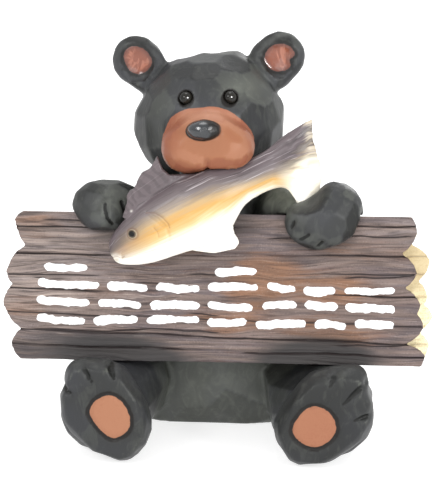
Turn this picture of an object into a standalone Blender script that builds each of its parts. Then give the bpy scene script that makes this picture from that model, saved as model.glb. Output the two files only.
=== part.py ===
"""A whittled bear that sits with its legs out, holds a weathered board and has a trout in its mouth.

Metres, +Z up, the bear faces -Y. The origin is the middle of the flat seat that it sits on.
"""

import math
import random

import bmesh
import bpy
from mathutils import Matrix, Vector
from mathutils.bvhtree import BVHTree

MM = 0.001

# The bear. Its free form is drawn in units, so many of which make its height, and follows that height.
BEAR_HEIGHT = 181.0 * MM
UNITS_TALL = 181
BEAR_SCALE = BEAR_HEIGHT / UNITS_TALL
KNIFE_SEED = 7
HEAD_STROKES = 90

# Gap that the glued castings keep to each other
GLUE_GAP = 0.3 * MM

# The board
BOARD_LENGTH = 191.0 * MM
BOARD_HEIGHT = 66.0 * MM
BOARD_FRONT_LAYER = 5.0 * MM
BOARD_BACK_LAYER = 6.5 * MM
BACK_LAYER_STEP = 0.7 * MM
BOARD_LEAN_DEG = 14.0
BOARD_SHIFT = 4.1 * MM
GROOVE_DEPTH = 1.3 * MM
GROOVE_WIDTH = 1.8 * MM

# The fish: the length that its drawing's shares are of, and its thicknesses
FISH_LENGTH = 84.0 * MM
FISH_THICKNESS = 16.5 * MM
FIN_THICKNESS = 3.2 * MM

# The eyes: round beads in sockets
EYE_RADIUS = 3.0 * MM
EYE_SINK = 1.5 * MM

# Broken ends of the board's layers, from the top corner down to the bottom one, by turns the bottom of a
# notch and the tip of a tongue: share of the height, and millimetres that the wood stops short of its end
LEFT_FRONT_END = (
    (1.0, 8.5), (0.94, 4.7), (0.767, 9.8), (0.596, 1.0), (0.503, 4.2), (0.373, 0.0), (0.207, 8.6),
    (0.105, 4.2), (0.0, 8.4),
)
RIGHT_FRONT_END = (
    (1.0, 10.0), (0.89, 7.3), (0.75, 14.1), (0.625, 7.0), (0.524, 12.6), (0.413, 5.5), (0.352, 7.1),
    (0.26, 4.0), (0.151, 11.7), (0.081, 3.3), (0.0, 5.0),
)
LEFT_BACK_END = (
    (1.0, 10.0), (0.9, 7.6), (0.78, 12.5), (0.62, 4.4), (0.5, 7.5), (0.38, 3.4), (0.21, 11.8),
    (0.12, 7.2), (0.0, 10.5),
)
RIGHT_BACK_END = (
    (1.0, 11.0), (0.93, 8.6), (0.82, 9.6), (0.712, 1.4), (0.57, 6.3), (0.47, 2.4), (0.41, 3.8),
    (0.33, 0.0), (0.225, 6.0), (0.138, 1.4), (0.0, 5.6),
)
# Grooves between the planks: share of the height at the left and at the right end
PLANK_GROOVES = ((0.889, 0.935), (0.707, 0.736), (0.475, 0.463), (0.202, 0.144), (0.101, 0.06))

CHARCOAL = (0.055, 0.058, 0.060)
WEATHERED = (0.19, 0.135, 0.125)
TROUT = (0.78, 0.60, 0.33)
BEAD_BLACK = (0.008, 0.008, 0.010)


def drawn(*values):
    """A place or a set of radii on the bear, from the drawing's units."""
    return Vector(values) * BEAR_SCALE


def clear_scene():
    for obj in list(bpy.data.objects):
        bpy.data.objects.remove(obj, do_unlink=True)


def paint(name, colour, roughness, metallic=0.0):
    material = bpy.data.materials.new(name)
    material.use_nodes = True
    shader = material.node_tree.nodes["Principled BSDF"]
    shader.inputs["Base Color"].default_value = (*colour, 1.0)
    shader.inputs["Roughness"].default_value = roughness
    shader.inputs["Metallic"].default_value = metallic
    return material


def object_from(bm, name, wound=False):
    """A new object that holds the bmesh, whose faces are turned to point out unless they are wound so."""
    if not wound:
        bmesh.ops.recalc_face_normals(bm, faces=bm.faces[:])
    mesh = bpy.data.meshes.new(name)
    bm.to_mesh(mesh)
    bm.free()
    obj = bpy.data.objects.new(name, mesh)
    bpy.context.scene.collection.objects.link(obj)
    return obj


def grow_out(bm, grow):
    """Moves the bmesh's faces out by grow, so that what it then cuts leaves that gap all round."""
    sharpest = 3.0
    bmesh.ops.recalc_face_normals(bm, faces=bm.faces[:])
    bm.normal_update()
    steps = [vert.normal * min(vert.calc_shell_factor(), sharpest) * grow for vert in bm.verts]
    for vert, step in zip(bm.verts, steps):
        vert.co += step


def combine(target, other, operation):
    """Cuts other from target, or joins it on, and removes other."""
    modifier = target.modifiers.new("combine", "BOOLEAN")
    modifier.operation = operation
    modifier.solver = "EXACT"
    modifier.object = other
    bpy.context.view_layer.update()
    graph = bpy.context.evaluated_depsgraph_get()
    result = bpy.data.meshes.new_from_object(target.evaluated_get(graph))
    target.modifiers.clear()
    target.data = result
    bpy.data.objects.remove(other, do_unlink=True)


def knife_directions(strokes, dice):
    """Directions spread over a sphere on a turned spiral, each a little off its place."""
    golden = math.pi * (3.0 - math.sqrt(5.0))
    turn = Matrix.Rotation(dice.uniform(0.0, math.tau), 3, "Z")
    turn @= Matrix.Rotation(dice.uniform(0.3, 1.2), 3, "X")
    jitter = 0.55 / math.sqrt(strokes)
    for index in range(strokes):
        height = 1.0 - 2.0 * (index + 0.5) / strokes
        around = golden * index
        ring = math.sqrt(1.0 - height * height)
        direction = Vector((ring * math.cos(around), ring * math.sin(around), height))
        direction += Vector(dice.uniform(-jitter, jitter) for _ in range(3))
        yield (turn @ direction).normalized()


def cut_flat(bm, point, normal):
    """Slices off what lies beyond the plane, and closes the cut with one flat face."""
    geometry = bm.verts[:] + bm.edges[:] + bm.faces[:]
    result = bmesh.ops.bisect_plane(
        bm, geom=geometry, dist=0.01 * MM, plane_co=point, plane_no=normal, clear_outer=True
    )
    edges = [item for item in result["geom_cut"] if isinstance(item, bmesh.types.BMEdge)]
    if edges:
        bmesh.ops.edgeloop_fill(bm, edges=edges)


def whittle(name, balls, strokes, flats=()):
    """A block cut down by flat knife strokes to the tight hull round some ellipsoids.

    balls holds (centre, radii) pairs, and flats holds (point, normal) of further deliberate cuts.
    """
    dice = random.Random(f"{name}{KNIFE_SEED}")
    block = 2.0 * max(centre.length + max(radii) for centre, radii in balls)
    bm = bmesh.new()
    bmesh.ops.create_cube(bm, size=2.0 * block)
    thinnest = min(min(radii) for _, radii in balls)
    for direction in knife_directions(strokes, dice):
        reach = max(
            centre.dot(direction) + Vector(r * d for r, d in zip(radii, direction)).length
            for centre, radii in balls
        )
        reach -= thinnest * dice.uniform(0.0, 0.035)
        cut_flat(bm, direction * reach, direction)
    for point, normal in flats:
        cut_flat(bm, point, normal)
    bmesh.ops.remove_doubles(bm, verts=bm.verts[:], dist=0.08 * MM)
    return object_from(bm, name)


def ball(centre, radii):
    """One ellipsoid of the bear's form, in the drawing's units."""
    return drawn(*centre), drawn(*radii)


def groove(bm, path, radius, closed=False):
    """Adds a round bar along the path to a bmesh of cutters, wound outward; a closed path makes a ring."""
    sides = 6
    rings = []
    for index, here in enumerate(path):
        before = path[index - 1] if closed or index else here
        after = path[(index + 1) % len(path)] if closed or index + 1 < len(path) else here
        along = (after - before).normalized()
        aside = Vector((0.0, -1.0, 0.0)) if abs(along.y) < 0.9 else Vector((1.0, 0.0, 0.0))
        across = along.cross(aside).normalized()
        lift = across.cross(along)
        taper = 1.0 if closed or 0 < index < len(path) - 1 else 0.35
        angles = [math.tau * side / sides for side in range(sides)]
        ring = [here + (across * math.cos(a) + lift * math.sin(a)) * radius * taper for a in angles]
        rings.append([bm.verts.new(point) for point in ring])
    pairs = list(zip(rings, rings[1:])) + ([(rings[-1], rings[0])] if closed else [])
    for first, second in pairs:
        for side in range(sides):
            following = (side + 1) % sides
            bm.faces.new((second[side], second[following], first[following], first[side]))
    if not closed:
        bm.faces.new(rings[0])
        bm.faces.new(reversed(rings[-1]))


def front_of(obj, places):
    """The points on the object's front at places (x, z)."""
    corners = [vert.co for vert in obj.data.vertices]
    tree = BVHTree.FromPolygons(corners, [poly.vertices for poly in obj.data.polygons])
    for across, up in places:
        yield tree.ray_cast(Vector((across, -3.0 * BEAR_HEIGHT, up)), Vector((0.0, 1.0, 0.0)))[0]


# Board frame: along its length, up its slope, and out of its front face
def board_matrix():
    """Places the board: it stands on the legs behind the toes and leans back on the belly."""
    lean = Matrix.Rotation(math.radians(-BOARD_LEAN_DEG), 4, "X")
    foot = drawn(0.0, -58.0, 41.0)
    return Matrix.Translation(foot + Vector((BOARD_SHIFT, 0.0, 0.0))) @ lean


def on_board(along, up, out):
    """A point by its distance along the board, up its slope and out of its front face."""
    return board_matrix() @ Vector((along, -out, up))


def tongues(profile):
    """A broken end as (share, short) points: bluntly rounded tongues between sharp notches."""
    steps = 3
    points = []
    for index, (here, there) in enumerate(zip(profile, profile[1:])):
        for step in range(steps):
            part = step / steps
            turn = math.pi / 2.0 * part
            rise, run = (1.0 - math.cos(turn) + part) / 2.0, (math.sin(turn) + part) / 2.0
            if index % 2:
                rise, run = run, rise
            share, short = here[0] + (there[0] - here[0]) * rise, here[1] + (there[1] - here[1]) * run
            points.append((share, short))
    return points + [profile[-1]]


def board_outline(left, right, inset):
    """The outline of one layer from its two broken ends, inset from the board's long edges."""
    half = BOARD_LENGTH / 2.0
    rise = BOARD_HEIGHT - 2.0 * inset
    right_side = [(half - short * MM, share) for share, short in tongues(right)]
    left_side = [(short * MM - half, share) for share, short in reversed(tongues(left))]
    return [Vector((along, 0.0, inset + share * rise)) for along, share in right_side + left_side]


def layer(name, outline, front, back):
    """A flat layer of the board, from its front to its back as distances behind the front face."""
    bm = bmesh.new()
    face = bm.faces.new([bm.verts.new(point + Vector((0.0, front, 0.0))) for point in outline])
    result = bmesh.ops.extrude_face_region(bm, geom=[face])
    moved = [item for item in result["geom"] if isinstance(item, bmesh.types.BMVert)]
    bmesh.ops.translate(bm, vec=(0.0, back - front, 0.0), verts=moved)
    return object_from(bm, name)


def plank_grooves():
    """Cutters for the long grooves between the planks, each a four-sided bar on edge."""
    bm = bmesh.new()
    for left_share, right_share in PLANK_GROOVES:
        start = Vector((-0.6 * BOARD_LENGTH, 0.0, left_share * BOARD_HEIGHT))
        end = Vector((0.6 * BOARD_LENGTH, 0.0, right_share * BOARD_HEIGHT))
        along = (end - start).normalized()
        out = Vector((0.0, -1.0, 0.0))
        turn = Matrix((out, along.cross(out), along)).transposed().to_4x4()
        size = Matrix.Diagonal((GROOVE_DEPTH, GROOVE_WIDTH / 2.0, 1.0, 1.0))
        bmesh.ops.create_cone(
            bm, cap_ends=True, segments=4, radius1=1.0, radius2=1.0, depth=(end - start).length,
            matrix=Matrix.Translation((start + end) / 2.0) @ turn @ size,
        )
    return object_from(bm, "plank_groove_cutters")


def make_board():
    thickness = BOARD_FRONT_LAYER + BOARD_BACK_LAYER
    front_outline = board_outline(LEFT_FRONT_END, RIGHT_FRONT_END, 0.0)
    board = layer("signboard", front_outline, 0.0, BOARD_FRONT_LAYER)
    back_outline = board_outline(LEFT_BACK_END, RIGHT_BACK_END, BACK_LAYER_STEP)
    combine(board, layer("board_back", back_outline, BOARD_FRONT_LAYER - 1.0 * MM, thickness), "UNION")
    combine(board, plank_grooves(), "DIFFERENCE")
    board.data.transform(board_matrix())
    return board


def board_room():
    """The space that the board fills with the glue gap round it, as a plain slab."""
    thickness = BOARD_FRONT_LAYER + BOARD_BACK_LAYER
    bm = bmesh.new()
    bmesh.ops.create_cube(bm, size=1.0)
    size = Vector((1.2 * BOARD_LENGTH, thickness + 2.0 * GLUE_GAP, BOARD_HEIGHT + 2.0 * GLUE_GAP))
    bmesh.ops.scale(bm, vec=size, verts=bm.verts[:])
    bmesh.ops.translate(bm, vec=(0.0, thickness / 2.0, BOARD_HEIGHT / 2.0), verts=bm.verts[:])
    bmesh.ops.transform(bm, matrix=board_matrix(), verts=bm.verts[:])
    return object_from(bm, "board_room")


# Balls of the paws in the bear's units: place along the board, above its top edge and out of its front, and
# their radii
LEFT_PAW = (
    ((-52.5, 2.5, -4.0), (12.6, 12.0, 11.6)),
    ((-51.0, -1.0, 3.0), (9.6, 6.5, 6.5)),
    ((-46.5, 3.0, -5.0), (13.0, 12.0, 11.0)),
)
RIGHT_PAW = (
    ((52.0, 2.0, -4.0), (12.0, 12.0, 12.6)),
    ((45.0, -7.0, 3.5), (13.0, 6.5, 8.5)),
    ((40.0, -1.0, -1.0), (9.5, 9.0, 7.5)),
)


def paw_balls(paw):
    """The hull of a paw that hooks over the board, which it follows."""
    edge = Vector((0.0, BOARD_HEIGHT, 0.0))
    return [(on_board(*(edge + drawn(*place))), drawn(*radii)) for place, radii in paw]


def make_torso():
    return whittle(
        "torso",
        [
            ball((0.0, 5.0, 26.0), (41.5, 37.0, 36.0)),
            ball((0.0, -2.0, 56.0), (40.0, 38.5, 27.0)),
            ball((0.0, 0.0, 82.0), (36.0, 31.0, 26.0)),
            ball((0.0, 2.0, 98.0), (29.0, 25.0, 20.0)),
            ball((-22.0, -1.0, 14.0), (18.0, 24.0, 22.0)),
            ball((22.0, -1.0, 14.0), (18.0, 24.0, 22.0)),
        ],
        210,
    )


def make_head():
    head = whittle(
        "head",
        [
            ball((-1.4, -14.0, 141.0), (32.8, 31.4, 30.2)),
            ball((-1.4, -17.0, 134.0), (31.0, 26.6, 21.8)),
            ball((-1.4, -15.0, 150.0), (28.8, 25.6, 21.2)),
        ],
        HEAD_STROKES,
    )
    muzzle = whittle(
        "muzzle",
        [
            ball((-9.6, -44.0, 135.0), (11.0, 13.0, 11.2)),
            ball((9.4, -44.0, 135.2), (11.0, 13.0, 11.2)),
            ball((-0.3, -42.0, 142.6), (12.5, 12.0, 9.0)),
        ],
        90,
    )
    cleft = bmesh.new()
    path = [drawn(-0.2, -47.0, 121.5), drawn(-0.4, -57.5, 127.0), drawn(-0.8, -58.6, 136.0)]
    groove(cleft, path, 2.0 * BEAR_SCALE)
    combine(muzzle, object_from(cleft, "muzzle_cleft", wound=True), "DIFFERENCE")
    nape = [ball((0.0, 0.0, 130.0), (25.0, 19.0, 16.0)), ball((0.0, 9.0, 96.0), (27.0, 22.0, 18.0))]
    for lump in (
        muzzle,
        whittle("nose", [ball((-0.9, -54.6, 144.8), (7.3, 5.0, 4.3))], 60),
        whittle("chin", [ball((0.0, -36.0, 122.0), (13.0, 12.0, 9.0))], 40),
        whittle("nape", nape, 60),
    ):
        combine(head, lump, "UNION")
    return head


def make_ear(name, centre, root):
    """An upright disc on a root, hollowed in front."""
    ear = whittle(name, [ball(centre, (10.9, 5.8, 11.2)), ball(root, (7.4, 7.0, 7.4))], 64)
    bowl = bmesh.new()
    front = drawn(*centre) + drawn(0.0, -6.6, -0.8)
    size = Matrix.Diagonal((*drawn(8.8, 3.4, 8.6), 1.0))
    place = Matrix.Translation(front) @ size
    bmesh.ops.create_uvsphere(bowl, u_segments=16, v_segments=8, radius=1.0, matrix=place)
    combine(ear, object_from(bowl, f"{name}_bowl"), "DIFFERENCE")
    return ear


def make_arms():
    """Both arms with their paws, as a list of solids to join."""
    lumps = []
    for name, side, paw, bend in (("left", -1.0, LEFT_PAW, 92.0), ("right", 1.0, RIGHT_PAW, 101.0)):
        balls = paw_balls(paw)
        elbow = ball((side * 33.0, -22.0, bend), (12.0, 11.0, 12.5))
        wrist = (balls[0][0] + drawn(0.0, 4.0, -3.0), drawn(9.5, 9.5, 9.5))
        shoulder = ball((side * 27.0, -6.0, 87.0), (15.0, 14.0, 15.0))
        lumps.append(whittle(f"{name}_arm", [shoulder, wrist, elbow], 46))
        lumps.append(whittle(f"{name}_paw", balls, 64))
    return lumps


# The soles: a point on each flat and its outward normal. The balls and the pads lie on them.
SOLES = {
    "left": (Vector((-42.0, -80.0, 24.0)), Vector((-0.06, -1.0, 0.04))),
    "right": (Vector((52.0, -80.0, 24.0)), Vector((0.06, -1.0, 0.04))),
}
PADS = {"left": ((-40.3, 22.7), (8.5, 10.1), 20.0), "right": ((48.4, 19.5), (9.7, 9.1), -25.0)}
# Gouges between the toes, from the sole out to its rim, as places across and up
TOES = (
    ((-57.1, 31.7), (-60.5, 33.7)), ((-48.5, 37.6), (-51.4, 42.8)), ((-38.3, 39.2), (-40.0, 43.6)),
    ((55.1, 37.4), (56.6, 41.8)), ((61.2, 30.0), (68.3, 37.0)), ((66.1, 22.8), (71.0, 24.4)),
)


def on_sole(side, across, up, out=0.0):
    """A point on a foot's flat sole, or out of it by so much."""
    point, normal = SOLES[side]
    forward = point.y - ((across - point.x) * normal.x + (up - point.z) * normal.z) / normal.y
    return drawn(across, forward - out, up)


def make_legs():
    """Both legs with their feet, soles forward, as a list of solids to join."""
    cuts = {side: [(drawn(*point), normal.normalized())] for side, (point, normal) in SOLES.items()}
    left_leg = [
        ball((-38.0, -10.0, 22.0), (20.0, 20.0, 22.0)),
        ball((-45.0, -60.0, 19.5), (18.0, 13.0, 19.5)),
    ]
    right_leg = [
        ball((43.0, -10.0, 22.0), (20.0, 20.0, 22.0)),
        ball((55.0, -60.0, 19.0), (18.5, 13.0, 19.0)),
    ]
    left_foot = [
        ball((-45.4, -71.0, 27.4), (17.0, 15.0, 18.2)),
        ball((-34.8, -71.0, 12.4), (12.6, 15.0, 12.4)),
    ]
    right_foot = [
        ball((55.6, -70.5, 25.0), (17.8, 15.0, 18.4)),
        ball((43.6, -70.5, 14.4), (13.4, 15.0, 14.2)),
    ]
    return [
        whittle("left_leg", left_leg, 60),
        whittle("right_leg", right_leg, 60),
        whittle("left_foot", left_foot, 70, cuts["left"]),
        whittle("right_foot", right_foot, 70, cuts["right"]),
    ]


def ring(side, middle, radii, turn_deg, steps=20):
    """A closed oval of points on a sole."""
    turn = math.radians(turn_deg)
    for step in range(steps):
        angle = math.tau * step / steps
        corner = Vector((radii[0] * math.cos(angle), radii[1] * math.sin(angle)))
        reach = Matrix.Rotation(turn, 2) @ corner
        yield on_sole(side, middle[0] + reach.x, middle[1] + reach.y)


def sole_gouges(bear):
    """Cutters for the carved ring round each pad, and the gouges between the toes."""
    bm = bmesh.new()
    for side, (middle, radii, turn_deg) in PADS.items():
        groove(bm, list(ring(side, middle, radii, turn_deg)), 0.9 * BEAR_SCALE, closed=True)
    for start, rim in TOES:
        places = [drawn(*start).lerp(drawn(*rim), share) for share in (0.0, 0.35, 0.6, 0.8, 1.0)]
        path = list(front_of(bear, places))
        outward = (path[-1] - path[0]) * 0.35
        path.append(path[-1] + Vector((outward.x, 2.0 * outward.length, outward.z)))
        groove(bm, path, 1.4 * BEAR_SCALE)
    return object_from(bm, "sole_gouges", wound=True)


# Creases between the fingers that hook over the board, in the bear's units: places along it and above its
# top edge
PAW_CREASES = (
    ((-50.4, 5.5), (-49.8, 2.6), (-48.1, -1.0), (-45.4, -4.5)),
    ((-46.9, 8.6), (-46.4, 6.6), (-44.2, 3.1), (-43.0, -1.8)),
    ((31.0, 0.4), (34.0, -2.4), (36.6, -5.0)),
    ((37.2, -4.4), (40.2, -7.6), (42.6, -10.2)),
    ((44.6, -8.4), (48.0, -11.2), (50.6, -13.6)),
)


def paw_gouges(bear):
    """Cutters for the creases, which follow the paws' front closely."""
    bm = bmesh.new()
    steps = 8
    for crease in PAW_CREASES:
        marks = [smooth_between(crease, step / steps) for step in range(steps + 1)]
        rim = on_board(0.0, BOARD_HEIGHT, 0.0)
        places = [(rim.x + along * BEAR_SCALE, rim.z + up * BEAR_SCALE) for along, up in marks]
        groove(bm, list(front_of(bear, places)), 0.9 * BEAR_SCALE)
    return object_from(bm, "paw_gouges", wound=True)


def floor_block():
    """What lies below the surface that the bear sits on."""
    bm = bmesh.new()
    side = 3.0 * BEAR_HEIGHT
    bmesh.ops.create_cube(bm, size=side, matrix=Matrix.Translation((0.0, 0.0, -side / 2.0)))
    return object_from(bm, "floor_block")


# Places of the eyes across and up the face
EYES = {"left_eye": (-10.1, 155.8), "right_eye": (9.1, 156.1)}


def bead(name, centre, radius):
    bm = bmesh.new()
    place = Matrix.Translation(centre)
    bmesh.ops.create_uvsphere(bm, u_segments=20, v_segments=12, radius=radius, matrix=place)
    return object_from(bm, name)


def make_bear():
    """The bear with its sockets, and where the beads go."""
    bear = make_torso()
    bear.name = "bear"
    lumps = [
        make_head(),
        make_ear("left_ear", (-34.9, -8.0, 167.6), (-26.0, -9.0, 158.0)),
        make_ear("right_ear", (30.2, -8.0, 170.2), (22.0, -9.0, 159.5)),
        *make_arms(),
        *make_legs(),
        whittle("tail", [ball((0.0, 38.0, 20.0), (9.0, 8.0, 8.0))], 40),
    ]
    for lump in lumps:
        combine(bear, lump, "UNION")
    fronts = front_of(bear, [drawn(across, 0.0, up).xz for across, up in EYES.values()])
    places = {name: front + Vector((0.0, EYE_SINK, 0.0)) for name, front in zip(EYES, fronts)}
    for name, place in places.items():
        combine(bear, bead(f"{name}_socket", place, EYE_RADIUS + GLUE_GAP), "DIFFERENCE")
    for cutter in (paw_gouges(bear), sole_gouges(bear), floor_block(), board_room()):
        combine(bear, cutter, "DIFFERENCE")
    return bear, places


# The fish: shares of its length along and up from its bite, and half height and half thickness as shares
FISH_BITE = (-4.0, -52.0, 108.0)
FISH_SPINE = (
    # along, forward, up, half height, half thickness
    (-0.462, 0.012, -0.240, 0.010, 0.10),
    (-0.438, 0.020, -0.225, 0.062, 0.42),
    (-0.365, 0.035, -0.180, 0.112, 0.74),
    (-0.225, 0.045, -0.105, 0.166, 0.96),
    (-0.020, 0.045, 0.000, 0.186, 1.00),
    (0.115, 0.010, 0.085, 0.158, 0.86),
    (0.248, -0.048, 0.143, 0.112, 0.62),
    (0.380, -0.125, 0.192, 0.116, 0.38),
    (0.485, -0.190, 0.205, 0.164, 0.25),
    (0.580, -0.240, 0.212, 0.226, 0.18),
)
# How far the tail's end reaches back, in equal steps from its upper corner to its lower one, as shares
TAIL_EDGE = ((0.044,), (0.031,), (0.050,), (0.040,), (-0.110,))


def smooth_between(rows, share):
    """The rows' values at a share of the way along them, on a smooth curve through each row."""
    place = share * (len(rows) - 1)
    index = min(int(place), len(rows) - 2)
    t = place - index
    before, here = rows[max(index - 1, 0)], rows[index]
    there, after = rows[index + 1], rows[min(index + 2, len(rows) - 1)]
    return [
        b + 0.5 * t * (c - a + t * (2.0 * a - 5.0 * b + 4.0 * c - d + t * (3.0 * (b - c) + d - a)))
        for a, b, c, d in zip(before, here, there, after)
    ]


def fish_point(along, forward, up):
    """A point on the fish, from shares of its length."""
    return drawn(*FISH_BITE) + Vector((along, -forward, up)) * FISH_LENGTH


def fish_body(name, grow):
    """Oval rings along the fish's spine, out to the uneven end of its tail, with grow added all round."""
    bm = bmesh.new()
    stations, sides = 30, 20
    lean = board_matrix().to_3x3() @ Vector((0.0, 0.0, 1.0))
    rings = []
    for station in range(stations + 1):
        share = station / stations
        along, forward, up, half_height, half_thick = smooth_between(FISH_SPINE, share)
        ahead = fish_point(*smooth_between(FISH_SPINE, min(share + 0.02, 1.0))[:3])
        behind = fish_point(*smooth_between(FISH_SPINE, max(share - 0.02, 0.0))[:3])
        tangent = (ahead - behind).normalized()
        side = tangent.cross(lean).normalized()
        back = side.cross(tangent).normalized()
        tail = max(0.0, (share - 0.7) / 0.3) ** 2
        ring = []
        for corner in range(sides):
            angle = math.tau * corner / sides
            high, wide = math.sin(angle), math.cos(angle)
            reach = tail * FISH_LENGTH * smooth_between(TAIL_EDGE, (1.0 - high) / 2.0)[0]
            ring.append(bm.verts.new(
                fish_point(along, forward, up)
                + back * high * half_height * FISH_LENGTH
                + side * wide * half_thick * FISH_THICKNESS / 2.0
                + tangent * reach
            ))
        rings.append(ring)
    for first, second in zip(rings, rings[1:]):
        for corner in range(sides):
            following = (corner + 1) % sides
            bm.faces.new((first[corner], first[following], second[following], second[corner]))
    # Each end is closed by a strip of faces that runs up it, from its lowest corner to its highest
    for cap in (rings[0], rings[-1]):
        for corner in range(-sides // 4, sides // 4):
            corners = (corner, corner + 1, sides // 2 - corner - 1, sides // 2 - corner)
            bm.faces.new([cap[step] for step in dict.fromkeys(step % sides for step in corners)])
    bmesh.ops.triangulate(bm, faces=bm.faces[:], quad_method="FIXED")
    grow_out(bm, grow)
    return object_from(bm, name)


def fin(name, outline, grow):
    """A thin fin: an outline in shares of the fish's length, each point with its own forward place."""
    bm = bmesh.new()
    rim = [fish_point(*place) for place in outline]
    half = Vector((0.0, FIN_THICKNESS / 2.0, 0.0))
    front = [bm.verts.new(point - half) for point in rim]
    back = [bm.verts.new(point + half) for point in rim]
    bm.faces.new(front)
    bm.faces.new(reversed(back))
    for index in range(len(rim)):
        following = (index + 1) % len(rim)
        bm.faces.new((front[following], front[index], back[index], back[following]))
    bmesh.ops.triangulate(bm, faces=bm.faces[:])
    grow_out(bm, grow)
    return object_from(bm, name)


DORSAL_FIN = (
    (-0.393, 0.030, -0.030), (-0.369, 0.026, 0.046), (-0.367, 0.021, 0.090), (-0.357, 0.018, 0.110),
    (-0.334, 0.014, 0.120), (-0.318, 0.010, 0.153), (-0.298, 0.000, 0.199), (-0.270, -0.010, 0.216),
    (-0.245, -0.017, 0.229), (-0.232, -0.026, 0.258), (-0.212, -0.036, 0.290), (-0.197, -0.032, 0.250),
    (-0.178, -0.030, 0.213), (-0.146, -0.028, 0.190), (0.000, -0.010, 0.200), (-0.020, 0.010, 0.100),
    (-0.240, 0.030, -0.030),
)
BELLY_FIN = (
    (-0.020, 0.020, -0.150), (-0.100, 0.030, -0.205), (-0.010, 0.014, -0.219), (0.091, 0.012, -0.217),
    (0.195, 0.012, -0.190), (0.215, 0.006, -0.160), (0.173, -0.006, -0.103), (0.177, -0.014, -0.052),
    (0.120, 0.010, -0.010),
)


# Gouges on the fish's cheek, as shares of its length along and up: the gill's edge and the mouth
CHEEK_GOUGES = (
    ((-0.265, 0.014), (-0.200, -0.012), (-0.150, -0.055), (-0.136, -0.115), (-0.158, -0.180)),
    ((-0.452, -0.245), (-0.425, -0.240), (-0.395, -0.228)),
)


def cheek_gouges(fish):
    """Cutters that follow the fish's side."""
    bm = bmesh.new()
    for places in CHEEK_GOUGES:
        path = list(front_of(fish, [fish_point(along, 0.0, up).xz for along, up in places]))
        groove(bm, path, 0.055 * FISH_THICKNESS)
    return object_from(bm, "cheek_gouges", wound=True)


def make_fish(name, grow=0.0):
    fish = fish_body(name, grow)
    for label, outline in (("dorsal", DORSAL_FIN), ("belly_fin", BELLY_FIN)):
        combine(fish, fin(f"{name}_{label}", outline, grow), "UNION")
    return fish


def main():
    clear_scene()
    charcoal = paint("charcoal_paint", CHARCOAL, 0.6)
    weathered = paint("weathered_board_paint", WEATHERED, 0.7)
    trout = paint("trout_paint", TROUT, 0.4)
    bead_black = paint("bead_black", BEAD_BLACK, 0.08)

    bear, eye_places = make_bear()
    combine(bear, make_fish("fish_room", GLUE_GAP), "DIFFERENCE")
    fish = make_fish("fish")
    combine(fish, cheek_gouges(fish), "DIFFERENCE")
    combine(fish, board_room(), "DIFFERENCE")
    board = make_board()
    eyes = [bead(name, place, EYE_RADIUS) for name, place in eye_places.items()]

    painted = [(bear, charcoal), (fish, trout), (board, weathered)]
    for obj, material in painted + [(eye, bead_black) for eye in eyes]:
        obj.data.materials.clear()
        obj.data.materials.append(material)
    figurine = bpy.data.collections.new("bear_figurine")
    bpy.context.scene.collection.children.link(figurine)
    for obj in (bear, fish, board, *eyes):
        bpy.context.scene.collection.objects.unlink(obj)
        figurine.objects.link(obj)


main()
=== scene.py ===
"""The painted looks of the whittled bear figurine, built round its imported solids.

Shapes are worked out in millimetres and written in metres. The frame is that of the solids: +X to the right
as one faces the bear, +Y backwards, +Z up from the flat seat that it sits on.
"""

from __future__ import annotations

import logging
import math
from dataclasses import dataclass
from enum import Enum
from typing import Any, Callable, Mapping, Optional, Sequence, Union

import bmesh
import bpy
import numpy as np
from bpy.types import ID, Material, Mesh, NodeSocket, Object
from mathutils import Matrix, Vector
from mathutils.bvhtree import BVHTree

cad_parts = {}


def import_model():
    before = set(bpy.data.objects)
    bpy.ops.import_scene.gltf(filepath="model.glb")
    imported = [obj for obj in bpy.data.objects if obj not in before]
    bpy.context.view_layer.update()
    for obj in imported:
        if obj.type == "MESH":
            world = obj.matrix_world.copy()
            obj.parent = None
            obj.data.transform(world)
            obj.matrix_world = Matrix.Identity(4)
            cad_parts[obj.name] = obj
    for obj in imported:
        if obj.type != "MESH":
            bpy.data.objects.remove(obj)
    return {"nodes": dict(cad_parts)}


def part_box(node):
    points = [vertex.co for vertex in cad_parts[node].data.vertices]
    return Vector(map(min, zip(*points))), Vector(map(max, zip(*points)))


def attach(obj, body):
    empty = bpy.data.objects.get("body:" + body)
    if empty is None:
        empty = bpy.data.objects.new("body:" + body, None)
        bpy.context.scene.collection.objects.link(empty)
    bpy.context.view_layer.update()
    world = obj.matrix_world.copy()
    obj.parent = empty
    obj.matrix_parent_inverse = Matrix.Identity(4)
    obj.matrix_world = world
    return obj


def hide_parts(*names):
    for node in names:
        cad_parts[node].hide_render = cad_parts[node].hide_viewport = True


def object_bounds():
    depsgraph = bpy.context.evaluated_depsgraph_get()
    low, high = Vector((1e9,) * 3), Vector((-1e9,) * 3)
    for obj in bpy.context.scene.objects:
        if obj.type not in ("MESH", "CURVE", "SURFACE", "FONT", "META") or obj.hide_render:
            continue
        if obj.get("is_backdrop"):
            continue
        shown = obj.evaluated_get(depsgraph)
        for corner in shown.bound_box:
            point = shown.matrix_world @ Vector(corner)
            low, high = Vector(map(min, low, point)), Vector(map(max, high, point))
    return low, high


log = logging.getLogger("bear_figurine")

Array = np.ndarray
Colour = tuple[float, float, float, float]
Place = tuple[float, float]
Point = tuple[float, float, float]
Path = Sequence[Place]
# A ball's centre and radii
Ball = tuple[Point, Point]
# A soft patch's middle, reach and strength, or reach and shift
Patch = tuple[Sequence[float], Sequence[float], float]
Pull = tuple[Point, Point, Point]
Bounds = Sequence[Sequence[float]]
Amount = Union[float, Array]

MM = 0.001
BODY = "root"
# Corners of the frame's triangles that lie closer than this are one corner, in metres
WELD = 1e-6
# How far inside its outline a place counts as that can't have the paint
OUT = -9.0


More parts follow.
